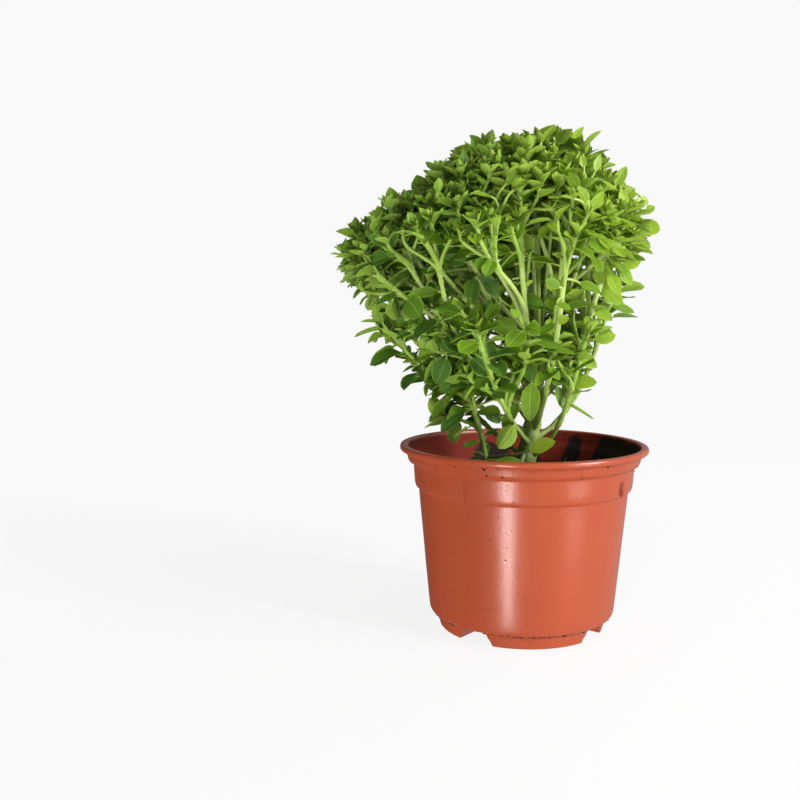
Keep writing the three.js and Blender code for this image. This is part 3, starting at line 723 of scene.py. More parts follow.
# Bearing and height of the pin-sized specks on the wall.
PIN_SPECKS = [(-7.1, 85.1), (-6.3, 83.6), (-7.4, 82.2), (-6.9, 80), (-5.9, 81.3), (-12.7, 69.1),
              (-11.8, 68.4), (-7.4, 65.5), (-6.6, 64), (-8.1, 60.8), (-5.4, 62.4), (-6.1, 60.4),
              (-16.4, 56.4), (-14.6, 56.2), (-8.8, 53.8), (-7.4, 53.2), (-8.5, 50.5), (-8.2, 47.3),
              (-8.2, 45.2), (-7.5, 43.6), (44.8, 58.1), (29.2, 65), (-41.6, 26.2), (63.6, 33.2),
              (51.4, 26.9), (13.4, 69.4)]


def wall_radius(height):
    """Radius of the pot's outside at each height, by straight lines between profile points."""
    heights = [9.3, 33.7, 73.9, 75.0, 86.9, 88.4, 93.3, 93.6, 95]
    return np.interp(height, heights, [48.7, 51.2, 54.95, 56.6, 57.8, 60.2, 61.6, 63.4, 65])


def make_crumbs(material):
    """Crumbs on the pot: the larger ones, finer ones along the ledges and above the feet, and a
    sprinkle over the wall round its sides and back."""
    rng = np.random.default_rng(31)

    def sprinkle(bearings, low, high, finest, coarsest):
        return [(b, rng.uniform(low, high), rng.uniform(finest, coarsest)) for b in bearings]

    rows = STUCK_CRUMBS + sprinkle(rng.uniform(-180, 180, 36), 88.1, 88.5, 0.15, 0.38)
    rows += sprinkle(rng.uniform(-180, 180, 26), 92.9, 93.3, 0.15, 0.35)
    rows += [(b + rng.normal(0, 0.5), height + rng.normal(0, 0.4), 0.1 + 0.28 * rng.uniform() ** 2)
             for b, height in PIN_SPECKS + PIN_SPECKS[:20]]
    rows += sprinkle(rng.uniform(50, 325, 60), 12, 86, 0.12, 0.24)
    bearing, height, size = np.array(rows).T
    outside = round_pot(wall_radius(height) + 0.1 * size, bearing * DEGREE, height)
    count = 330
    bearing = rng.uniform(-180, 180, count)
    ledge = np.where(np.abs((bearing - CHANNEL_BEARING) % 90 - 45) < 36, 7.5, 8.0)
    low = round_pot(rng.uniform(45.0, 47.2, count), bearing * DEGREE, ledge)
    sizes = np.concatenate([size, rng.uniform(0.2, 0.62, count)])
    piece = lumps(np.concatenate([outside, low]), sizes, 32)
    make_piece("soil_crumbs", piece, material, sharp=70)


def make_root_hairs(material):
    """Dried root hairs on the inner wall: thin wandering tubes that climb from the soil."""
    rng = np.random.default_rng(41)
    bodies = []
    for bearing in (118, 121, 126, 133, 139, 146, 152, 108):
        wander = np.cumsum(rng.normal(0, 0.5, (12, 2)), 0)
        turn = (bearing + wander[:, 0] * 1.2) * DEGREE
        z = 73 + np.linspace(0, 1, 12) * rng.uniform(5, 12) + wander[:, 1] * 0.4
        radius = np.interp(z, [70, 80.2, 87.6, 90.4], [53.2, 54.1, 56.7, 59.4]) - 0.4
        bodies.append(tube(round_pot(radius, turn, z), np.linspace(0.16, 0.07, 12), sides=5))
    make_piece("root_hairs", joined(bodies), material)


# ---------------------------------------------------------------- stems
TRUNK = np.array([[2.5, 48, 3.0], [3, 72, 3.7], [5, 96, 3.5], [6, 112, 3.2], [7.5, 140, 2.6],
                  [8, 151, 2.1]])
CROWN_BASE = np.array([2.0, 0, 72])
CROWN_LEAN = 8.6 * DEGREE
CROWN_ANGLE = 31 * DEGREE
CROWN_REACH, CROWN_TILT, EDGE_LOSS, RIGHT_LOSS, TIP_LEAVES = 184, 26, 21, 30, 7
STEM_PAIRS, FLANK_PAIRS, DOME_TIPS = 8, 3, 37
DOME_OFFERS, FLANK_OFFERS = 420, 170
GOLDEN_ANGLE = 137.508 * DEGREE
HIGHEST_FORK, FORK_STEP = 146, 5.6


class Draw:
    """The same repeatable random draws as the solids'."""

    def __init__(self, seed):
        self.state = 7919 * (seed + 11)
        for _ in range(4):
            self.next()

    def next(self):
        self.state = self.state * 16807 % 2147483647
        return self.state / 2147483647

    def around(self, amount):
        return (2 * self.next() - 1) * amount


def crown_point(reach, angle, bearing):
    """A place in the crown, from its distance to the crown's base, its angle from the crown's
    leaning middle line, and its bearing round that line."""
    aside, up = reach * math.sin(angle) * math.cos(bearing), reach * math.cos(angle)
    lean = (math.cos(CROWN_LEAN), math.sin(CROWN_LEAN))
    return CROWN_BASE + (aside * lean[0] - up * lean[1],
                         reach * math.sin(angle) * math.sin(bearing),
                         aside * lean[1] + up * lean[0])


def crown_reach(angle, bearing):
    """How far the crown's surface is from its base."""
    share, right = angle / CROWN_ANGLE, math.cos(bearing)
    return CROWN_REACH + CROWN_TILT * share * right - (EDGE_LOSS + RIGHT_LOSS * right) * share ** 2


def trunk_point(height):
    """The trunk's middle at a height, straight on above its top."""
    slope = (TRUNK[-1, 0] - TRUNK[-2, 0]) / (TRUNK[-1, 1] - TRUNK[-2, 1])
    x = np.interp(height, TRUNK[:, 1], TRUNK[:, 0]) + max(height - TRUNK[-1, 1], 0) * slope
    return np.array([x, 0, height])


def dome_tips():
    """The tips of the dome's stems, on an even spiral, as the solids have them."""
    tips = []
    for i in range(DOME_TIPS):
        draw = Draw(i)
        angle = CROWN_ANGLE * math.sqrt((i + 0.5) / DOME_TIPS) + draw.around(0.8 * DEGREE)
        bearing = i * GOLDEN_ANGLE + draw.around(3 * DEGREE)
        reach = crown_reach(angle, bearing) - TIP_LEAVES + draw.around(4)
        tips.append(crown_point(reach, angle, bearing))
    return tips


def route(start, start_way, end, end_way):
    """A cubic curve's four points: it leaves along start_way and comes in along end_way."""
    start, end = np.asarray(start, float), np.asarray(end, float)
    pull = 0.36 * np.linalg.norm(end - start)
    return np.array([start, start + np.asarray(start_way) * pull,
                     end - np.asarray(end_way) * pull, end])


def on_route(corners, t):
    """Points of the cubic curve at shares t."""
    t = np.atleast_1d(t)[:, None]
    return ((1 - t) ** 3 * corners[0] + 3 * t * (1 - t) ** 2 * corners[1]
            + 3 * t * t * (1 - t) * corners[2] + t ** 3 * corners[3])


def way_on_route(corners, t):
    """Unit directions of the cubic curve at shares t."""
    t = np.atleast_1d(t)[:, None]
    return unit((1 - t) ** 2 * (corners[1] - corners[0]) + 2 * t * (1 - t)
                * (corners[2] - corners[1]) + t * t * (corners[3] - corners[2]))


def end_way(tip, upright):
    """The way of a stem at its tip: out of the crown, and lifted by `upright`."""
    return unit(unit(tip - CROWN_BASE) + UP * upright)


def carried_levels(ways):
    """Directions across a stem: level at its first way, and carried on without twisting."""
    level = np.array([ways[0][1], -ways[0][0], 0])
    levels = [np.array([0.0, 1, 0]) if np.linalg.norm(level) < 0.02 else unit(level)]
    for way in ways[1:]:
        levels.append(unit(levels[-1] - way * (levels[-1] @ way)))
    return np.array(levels)


class Shoot:
    """A stem's middle line with its frames: `ways` along it, and `levels` across it, which are
    carried back from the tip."""

    def __init__(self, corners, thick, thin, twist, kind):
        self.corners, self.thick, self.thin = corners, thick, thin
        self.twist, self.kind = twist, kind
        self.points = on_route(corners, np.linspace(0, 1, 33))
        steps = np.linalg.norm(np.diff(self.points, axis=0), axis=1)
        self.arc = np.concatenate([[0], np.cumsum(steps)])
        self.length = self.arc[-1]
        self.ways = way_on_route(corners, np.linspace(0, 1, 33))
        self.levels = carried_levels(self.ways[::-1])[::-1]
        self.pairs = []

    def at(self, back):
        """Place and frame at each distance back from the tip."""
        where = self.length - np.atleast_1d(back)
        pick = lambda table: np.stack([np.interp(where, self.arc, table[:, i])
                                       for i in range(3)], -1)
        way = unit(pick(self.ways))
        level = pick(self.levels)
        level = unit(level - way * (level * way).sum(-1, keepdims=True))
        return pick(self.points), way, level, np.cross(way, level)


def climb(start, lean, tip, upright):
    """A curve that leaves the trunk at an angle from upright and ends at the tip."""
    away = unit((tip - start) * (1, 1, 0))
    return route(start, away * math.sin(lean) + UP * math.cos(lean), tip, end_way(tip, upright))


def branch_off(corners, share, tip, upright):
    """A curve that leaves another one at a share of it, half turned to the tip it ends at."""
    origin = on_route(corners, share)[0]
    outward = unit(unit(tip - origin) + way_on_route(corners, share)[0])
    return route(origin, outward, tip, end_way(tip, upright))


def leafy_stems():
    """The forked stems of the dome, as the solids have them: (name, shoots)."""
    plan = [(TRUNK[-1, 1] + 0.3, crown_point(CROWN_REACH, 0, 0), 0.0)]
    for pair in range(STEM_PAIRS):
        angle = CROWN_ANGLE * math.sqrt((pair + 0.9) / (STEM_PAIRS + 0.6))
        for side in (0, 1):
            bearing = pair * GOLDEN_ANGLE / 2 + side * math.pi
            plan.append((HIGHEST_FORK - FORK_STEP * (pair + side * 0.45),
                         crown_point(crown_reach(angle, bearing), angle, bearing),
                         angle / CROWN_ANGLE))
    free = dome_tips()
    nearest = lambda place, spots: int(np.argmin([np.linalg.norm(p - place) for p in spots]))
    owned = [[free.pop(nearest(centre, free))] for _, centre, _ in plan]
    for tip in free:
        owned[nearest(tip, [centre for _, centre, _ in plan])].append(tip)
    stems = []
    for index, ((height, _, spread), (first, *others)) in enumerate(zip(plan, owned)):
        lean = (8 if index == 0 else 36 + 22 * spread) * DEGREE
        corners = climb(trunk_point(height), lean, first, 0.6)
        shoots = [Shoot(corners, 1.6, 1.0, 50 * index * DEGREE, "main")]
        for i, tip in enumerate(others):
            shoots.append(Shoot(branch_off(corners, 0.4 + 0.1 * (i % 3), tip, 0.6), 1.15, 0.85,
                                (50 * index + 37 * (i + 1)) * DEGREE, "fork"))
        stems.append((f"leafy_stem_{index + 1:02d}", shoots))
    return stems


def flank_stems():
    """The shorter stems of the crown's flank, as the solids have them."""
    stems = []
    for pair in range(FLANK_PAIRS):
        for side in (0, 1):
            draw = Draw(100 + 2 * pair + side)
            bearing = (STEM_PAIRS + pair) * GOLDEN_ANGLE / 2 + side * math.pi
            start = trunk_point(HIGHEST_FORK - FORK_STEP * (STEM_PAIRS + pair + side * 0.45))
            far = crown_point(122 - 12 * pair + draw.around(5), 32 * DEGREE, bearing)
            near = crown_point(84 - 4 * pair + draw.around(4), 31 * DEGREE, bearing + 0.42)
            corners = climb(start, 62 * DEGREE, far, 0.15)
            stems.append((f"flank_stem_{len(stems) + 1}",
                          [Shoot(corners, 1.4, 0.95, bearing, "flank"),
                           Shoot(branch_off(corners, 0.38, near, 0), 1.05, 0.8, 2 * bearing,
                                 "flank")]))
    return stems


def thin_stem():
    """The second stem, which comes out of the soil by itself."""
    corners = route((-15, -8, 53), unit(np.array([-0.1, 0, 1])), (-34, -22, 134),
                    unit(np.array([-0.5, -0.25, 0.8])))
    origin = on_route(corners, 0.62)[0]
    fork = route(origin, unit(np.array([-0.6, 0.3, 0.7])), (-42, -8, 113),
                 unit(np.array([-1, 0.5, 0.5])))
    return [("thin_stem", [Shoot(corners, 1.8, 1.0, 0.4, "thin"),
                           Shoot(fork, 1.05, 0.8, 1.1, "thin")])]


# Tips of the highest rosettes.
TOP_TIPS = [(16.5, -14, 252), (27, -10, 250), (30, -14, 244), (30, 3, 243.5), (21, -4, 253),
            (24, 9, 251), (11, 2, 252), (28, -26, 243)]
# Where the crown is thin: middle and half size across and up, the depth it ends at, and the share
# of leaves left out. They are the open front over the trunk's top, the left side below the dome,
# the front of its left branches, the low right side, the cut-off right shoulder, three round the
# trunk, and two at the outline.
THIN_PLACES = [((8, 180), (34, 30), 4, 0.78), ((-72, 163), (30, 20), 60, 0.45),
               ((-44, 185), (25, 20), -44, 1.0), ((44, 122), (20, 36), 60, 1.0),
               ((63, 227), (15, 16), 90, 1.0), ((6, 122), (15, 24), -6, 0.9),
               ((32, 104), (24, 16), 60, 1.0), ((-14, 110), (13, 12), 40, 0.8),
               ((-53, 240), (9, 7), 90, 1.0), ((68, 198), (9, 8), 90, 1.0)]


def thinning(points):
    """Share of the leaves left out at each place: each thin place's own share at its middle, down
    to none at its edge."""
    share = np.zeros(len(points))
    for (x, z), (half_x, half_z), depth, most in THIN_PLACES:
        ring = np.hypot((points[:, 0] - x) / half_x, (points[:, 2] - z) / half_z)
        share = np.maximum(share, most * (1 - smooth(ring, 0.7, 1.1)) * (points[:, 1] < depth))
    return share


def extra_tips():
    """More stem tips than the solids have: an even spiral over the dome, and one down the flank.
    Tips too near another are left out, and most of those in a thin place."""
    rng = np.random.default_rng(5)
    taken = dome_tips()
    chosen = []

    def offer(tip, room, kind):
        free = rng.uniform() >= thinning(tip[None])[0]
        if free and min(np.linalg.norm(p - tip) for p in taken) > room:
            taken.append(tip)
            chosen.append((tip, kind))

    for tip in TOP_TIPS:
        offer(np.array(tip, float), 5, "dome")
    for i in range(DOME_OFFERS):
        angle = CROWN_ANGLE * math.sqrt((i + 0.7) / DOME_OFFERS) * 1.03
        bearing = i * GOLDEN_ANGLE + 0.9
        edge = angle / CROWN_ANGLE
        reach = crown_reach(angle, bearing) - 6.3 - edge * (2.7 - 1.4 * math.cos(bearing))
        tip = crown_point(reach + rng.uniform(-9, 3), angle, bearing)
        offer(np.clip(tip, BOX_LOW + 6, BOX_HIGH - 5), 7.3, "dome")
    for i in range(FLANK_OFFERS):
        bearing = i * GOLDEN_ANGLE
        reach = 162 - 92 * (i + 0.5) / FLANK_OFFERS + rng.uniform(-5, 5)
        angle = (28.5 - 2 * math.cos(bearing) + rng.uniform(-5, 3)) * DEGREE
        tip = crown_point(reach, angle, bearing)
        offer(np.clip(tip, BOX_LOW + 8, BOX_HIGH - 8), 12, "flank")
    return chosen


# Branches that cross the open front: start, way out, tip, way in, and radius at both ends.
FRONT_BRANCHES = [
    ((7.6, -1, 149), (-0.57, -0.52, 0.64), (-30, -44, 199), (-0.36, -0.46, 0.81), 1.45, 1.0),
    ((5, -2, 140), (-0.66, -0.44, 0.61), (-44, -47, 192), (-0.5, -0.45, 0.74), 1.3, 0.9),
    ((10.6, -14.4, 172.4), (0.75, -0.4, 0.5), (50, -37, 214), (0.4, -0.1, 0.9), 1.15, 0.9),
    ((9, -3, 150), (0.42, -0.35, 0.84), (31.5, -41, 222), (0.05, -0.1, 1), 1.25, 0.9),
    ((7.5, -2, 150), (-0.1, -0.4, 0.9), (4, -42, 218), (0, -0.3, 0.95), 1.1, 0.85),
    ((8, -2, 151), (0.12, -0.35, 0.92), (14, -43, 226), (0.1, -0.2, 0.97), 1.0, 0.8),
]


def front_branches():
    """The open front's branches as the shoots of one piece."""
    return [("front_branches", [Shoot(route(start, unit(np.array(out)), tip, unit(np.array(way))),
                                      thick, thin, 0.7 * i, "front")
                                for i, (start, out, tip, way, thick, thin)
                                in enumerate(FRONT_BRANCHES)])]


def grow_side_shoots(stems):
    """Hangs each extra tip on the shoot that reaches it with the least bend."""
    rng = np.random.default_rng(6)
    shares = np.linspace(0.3, 0.86, 15)
    origins, ways, owners = [], [], []
    for name, shoots in stems:
        for shoot in shoots:
            origins.append(on_route(shoot.corners, shares))
            ways.append(way_on_route(shoot.corners, shares))
            owners += [name] * len(shares)
    origins, ways = np.concatenate(origins), np.concatenate(ways)
    by_name = dict(stems)
    for tip, kind in extra_tips():
        gap = tip - origins
        distance = np.linalg.norm(gap, axis=1)
        straight = (gap * ways).sum(1) / distance
        cost = (distance + 60 * np.clip(0.8 - straight, 0, None)
                + 3 * np.clip(24 - distance, 0, None))
        best = int(np.argmin(cost))
        outward = unit(unit(gap[best]) * 0.8 + ways[best])
        upright = 0.6 if kind == "dome" else 0.1
        way = unit(end_way(tip, upright) + rng.normal(0, 0.3, 3))
        by_name[owners[best]].append(Shoot(route(origins[best], outward, tip, way), 0.95, 0.7,
                                           rng.uniform(0, math.pi), "side_" + kind))


def tube(centres, radii, sides=10, twist=0.0, levels=None, ridge=0.0):
    """A closed tube: at each centre a ring of `sides` points, with its radius times
    1 + ridge * cos 4(turn), which squares the stem."""
    ways = unit(np.gradient(centres, axis=0))
    levels = carried_levels(ways) if levels is None else levels
    turn = turns(sides)
    section = (1 + ridge * np.cos(4 * turn))[None, :, None] * np.asarray(radii)[:, None, None]
    turn = (turn + twist)[None, :, None]
    rings = centres[:, None] + section * (np.cos(turn) * levels[:, None]
                                          + np.sin(turn) * np.cross(ways, levels)[:, None])
    return ring_bodies(rings[None], centres[:1], centres[-1:])


def shoot_body(shoot):
    """The shoot's tube, with a swelling at each pair of leaves and a thick foot at its fork."""
    nodes = np.array(shoot.pairs or [0.0])
    marks = np.concatenate([np.linspace(0, shoot.length, 9)]
                           + [np.clip(back + np.array([-1.8, -0.6, 0.6, 1.8]), 0, shoot.length)
                              for back in nodes])
    backs = np.unique(np.round(marks, 2))[::-1]
    backs = backs[np.concatenate([[True], np.abs(np.diff(backs)) > 0.35])]
    places, _, levels, _ = shoot.at(backs)
    radii = shoot.thick + (shoot.thin - shoot.thick) * (1 - backs / shoot.length)
    radii = radii * (1 + 0.3 * np.exp(-((backs[:, None] - nodes[None]) / 1.3) ** 2).sum(1))
    radii = radii + 0.55 * np.exp(-((shoot.length - backs) / 3.0) ** 2)
    old = {"main": 0.25, "fork": 0.2, "thin": -0.3, "flank": -0.25, "front": 0.3}
    age = np.clip(0.75 * backs / 70 + old.get(shoot.kind, 0.0), 0, 1)
    return (tube(places, radii, 8, shoot.twist, levels, 0.06),
            np.concatenate([age[:1], np.repeat(age, 8), age[-1:]]))


# ---------------------------------------------------------------- leaves
# Along the leaf: share of its length past the stalk, half-width, and thickness in millimetres.
SECTIONS = {
    "broad": np.array([[0.0, 0.12, 0.5], [0.06, 0.42, 0.45], [0.22, 0.84, 0.4], [0.43, 1.0, 0.36],
                       [0.67, 0.88, 0.3], [0.87, 0.54, 0.24]]),
    "pointed": np.array([[0.0, 0.16, 0.5], [0.13, 0.64, 0.42], [0.36, 1.0, 0.36],
                         [0.62, 0.86, 0.3], [0.84, 0.45, 0.22]]),
    "bud": np.array([[0.0, 0.2, 0.45], [0.25, 0.9, 0.4], [0.55, 0.95, 0.32], [0.82, 0.45, 0.24]]),
}


def leaf_bodies(leaves, section):
    """Closed leaves. Each ring has eight points: five across the upper face and three back below.
    The middle line runs out along the leaf and droops with the square of the share, the two halves
    rise from the midrib by the fold, and the blade turns about its middle line."""
    share, spread, thickness = section.T
    leaves = {key: numbers[:, None] for key, numbers in leaves.items()}
    root, along, face, length = (leaves[key] for key in ("root", "along", "face", "length"))
    over = np.cross(face, along)
    count, rows = len(root), len(section) + 1

    def middle_line(s):
        aside = length * s * s
        return (root + along * (length * s)[..., None]
                + face * (-leaves["droop"] * aside)[..., None]
                + over * (leaves["bend"] * aside)[..., None])

    s = leaves["stalk"] + (1 - leaves["stalk"]) * share
    s = np.concatenate([np.zeros((count, 1)), s], 1)
    half = np.maximum(leaves["width"] / 2 * np.concatenate([[0], spread]), 0.32)[..., None]
    thick = np.concatenate([[0.6], thickness])[:, None]
    across = np.array([-1, -0.5, 0, 0.5, 1, 0.5, 0, -0.5])
    below = np.array([0, 0, 0, 0, 0, 0.8, 1.5, 0.8])
    blade = smooth(s, 0.05, 0.3)[..., None]
    wave = np.sin(9 * s + leaves["tone"] * 20)[..., None] * 0.06 * np.abs(across)
    rise = ((leaves["fold"][..., None] * np.abs(across) ** 1.3 + wave) * half * blade
            - thick * below)[..., None]
    flat = (half * across)[..., None]
    turn = (leaves["turn"] * s)[..., None]
    flat_way = over * np.cos(turn) + face * np.sin(turn)
    rise_way = face * np.cos(turn) - over * np.sin(turn)
    rings = middle_line(s)[:, :, None] + flat_way[:, :, None] * flat + rise_way[:, :, None] * rise
    tip = middle_line(np.ones((count, 1)))
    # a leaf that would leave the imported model's box is made shorter
    reach = np.concatenate([rings.reshape(count, -1, 3), tip], 1) - root
    room = np.where(reach > 0, BOX_HIGH - 0.2 - root, BOX_LOW + 0.2 - root)
    some = np.abs(reach) > 1e-6
    fit = np.where(some, room / np.where(some, reach, 1), 9).min((1, 2), keepdims=True)
    fit = np.clip(fit, 0.2, 1)
    rings = root[:, None] + (rings - root[:, None]) * fit[..., None]
    tip = root + (tip - root) * fit
    rings = np.roll(rings[:, :, ::-1], -3, axis=2)  # v is 0 at one edge and 0.5 at the other
    return ring_bodies(rings, root[:, 0], tip[:, 0]), rows * 8 + 2


def pair_leaves(leaves, shoot, backs, opens, lengths, widths, quarter, rng, *, stalk, age, droop,
                light=0.35):
    """Opposite pairs at distances back from the tip, each pair a quarter turn from the last."""
    backs, opens, lengths, widths, age = (np.repeat(np.asarray(a, float), 2)
                                          for a in (backs, opens, lengths, widths, age))
    count = len(backs)
    if not count:
        return
    place, way, level, third = shoot.at(backs)
    side = np.tile([0, 1], count // 2)
    quarters = quarter + np.arange(count) // 2 + 2 * side
    turn = (shoot.twist + quarters * math.pi / 2 + rng.normal(0, 12 * DEGREE, count))[:, None]
    opening = (opens + rng.normal(0, 11, count))[:, None] * DEGREE
    outward = level * np.cos(turn) + third * np.sin(turn)
    along = way * np.cos(opening) + outward * np.sin(opening)
    face = way * np.sin(opening) - outward * np.cos(opening) + UP * light
    face = unit(face - along * (face * along).sum(-1, keepdims=True))
    size = 1 + rng.uniform(-0.2, 0.2, count)
    numbers = dict(root=place + outward * 0.3, along=along, face=face, length=lengths * size,
                   width=widths * size * (1 + rng.uniform(-0.1, 0.1, count)),
                   stalk=np.full(count, stalk), droop=droop + rng.uniform(-0.08, 0.1, count),
                   fold=rng.uniform(0.05, 0.45, count), bend=rng.normal(0, 0.07, count),
                   turn=rng.normal(0, 0.34, count),
                   age=np.clip(age + rng.normal(0, 0.07, count), 0, 1),
                   tone=rng.uniform(0, 1, count))
    kept = rng.uniform(0, 1, count) >= thinning(place + along * 0.5 * lengths[:, None])
    leaves.append({key: numbers[key][kept] for key in numbers})


# A shoot's tip: how far below it each pair of leaves sits, the angle it opens to, and its size.
ROSETTE = {"backs": [8.4, 5.4, 3.2, 1.8], "opens": [72, 58, 46, 35],
           "lengths": [11.5, 10.4, 8.8, 7], "widths": [7.0, 6.2, 5.2, 4.0],
           "age": [0.45, 0.32, 0.2, 0.1]}
HEART = {"backs": [1.0, 0.4, 0.0], "opens": [26, 17, 8], "lengths": [5.4, 4.2, 3.0],
         "widths": [3.0, 2.4, 1.7], "age": [0.05, 0.02, 0.0]}


def bare_below(shoot):
    """How far back from its tip a shoot still carries leaves. The inner stems are bare, and those
    at the front and right are bare sooner."""
    tip = shoot.points[-1]
    outward = unit((tip - CROWN_BASE) * (1, 1, 0)) if np.hypot(*tip[:2]) > 1 else UP
    front = max(0.0, float(outward @ unit(np.array([0.45, -0.9, 0]))))
    return {"main": 84 - 46 * front, "fork": 62 - 30 * front, "flank": 60, "thin": 70,
            "side_dome": 40 - 6 * front, "side_flank": 44, "front": 30}[shoot.kind]


def dress(shoot, leaves, rng):
    """The shoot's leaves: the rosette at its tip, its young heart, pairs down the stem and tiny
    side buds in their axils."""
    scale = 1 + rng.uniform(-0.26, 0.34)
    low = "flank" in shoot.kind or shoot.kind == "thin"
    shade = 0.25 if low else 0.0
    tables = [{key: np.array(row) for key, row in table.items()} for table in (ROSETTE, HEART)]
    for table in tables:
        table["lengths"] = table["lengths"] * scale * (1.12 if low else 1.0)
        table["widths"] = table["widths"] * scale * (1.25 if low else 1.0)
        table["age"] = table["age"] + shade
    pair_leaves(leaves["broad" if low else "pointed"], shoot, quarter=0, rng=rng, stalk=0.14,
                droop=0.12, **tables[0])
    pair_leaves(leaves["bud"], shoot, quarter=4, rng=rng, stalk=0.06, droop=0.02, light=0.0,
                **tables[1])
    limit = min(bare_below(shoot), shoot.length - 4)
    steps = rng.uniform(6.5, 10.5, 12) + 0.3 * np.arange(12)
    backs = 8.6 + np.cumsum(steps)
    backs = backs[(backs < limit) & (rng.uniform(0, 1, 12) < 0.95)]
    shoot.pairs = [8.6, 5.6, *backs]
    if not len(backs):
        return
    count = len(backs)
    lengths = rng.uniform(10, 18, count) * (1.15 if low else 1.0)
    age = np.clip(0.45 + backs / 80 + shade, 0, 1)
    pair_leaves(leaves["broad"], shoot, backs, rng.uniform(50, 96, count), lengths,
                lengths * rng.uniform(0.5, 0.62, count), 1, rng, stalk=0.27, age=age, droop=0.16,
                light=0.6)
    near = backs[rng.uniform(0, 1, count) < 0.6]
    for lift, size in ((1.2, 6.6), (2.6, 4.4)):
        pair_leaves(leaves["bud"], shoot, near - lift, np.full(len(near), 46.0 - 6 * lift),
                    np.full(len(near), size), np.full(len(near), size * 0.48), 1, rng,
                    stalk=0.1, age=np.full(len(near), 0.25), droop=0.05, light=0.0)


def make_leaves(name, leaves, material, node):
    """One piece of all the leaves. Those on the left, and more on the upper left, are a deeper,
    darker green, partly painted shade where the crown shades itself from the light on the right,
    and those on the right a fresher one, partly painted light."""
    bodies, ages, tones = [], [], []
    for kind, rows in leaves.items():
        if not rows:
            continue
        numbers = {key: np.concatenate([row[key] for row in rows]) for key in rows[0]}
        body, size = leaf_bodies(numbers, SECTIONS[kind])
        bodies.append(body)
        across, _, height = numbers["root"].T
        # Painted shade and light: leaves on the left and its upper shoulder are made older and
        # deeper, those on the lit right fresher.
        left, right = smooth(-across, -30, 60), smooth(across, 5, 55)
        shoulder = left * smooth(height, 170, 215)
        age = numbers["age"] + 0.16 * left + 0.12 * shoulder - 0.1 * right
        tone = 0.75 * numbers["tone"] + 0.52 * left + 0.16 * shoulder - 0.13 * right - 0.05
        ages.append(np.repeat(np.clip(age, 0, 1), size))
        tones.append(np.repeat(np.clip(tone, 0, 1), size))
    make_piece(name, joined(bodies), material, [node],
               {"age": np.concatenate(ages), "tone": np.concatenate(tones)}, sharp=75)


def make_stems(stems, stem_material, leaf_material):
    """Two pieces for each packed stem: its shoots, and the leaves on them."""
    for index, (name, shoots) in enumerate(stems):
        rng = np.random.default_rng(100 + index)
        leaves = {kind: [] for kind in SECTIONS}
        for shoot in shoots:
            dress(shoot, leaves, rng)
        bodies, ages = zip(*(shoot_body(shoot) for shoot in shoots))
        node = "main_stem" if name == "front_branches" else name
        make_piece(name + "_shoots", joined(bodies), stem_material, [node],
                   {"age": np.concatenate(ages), "tone": rng.uniform(0, 1)}, sharp=80)
        make_leaves(name + "_leaves", leaves, leaf_material, node)


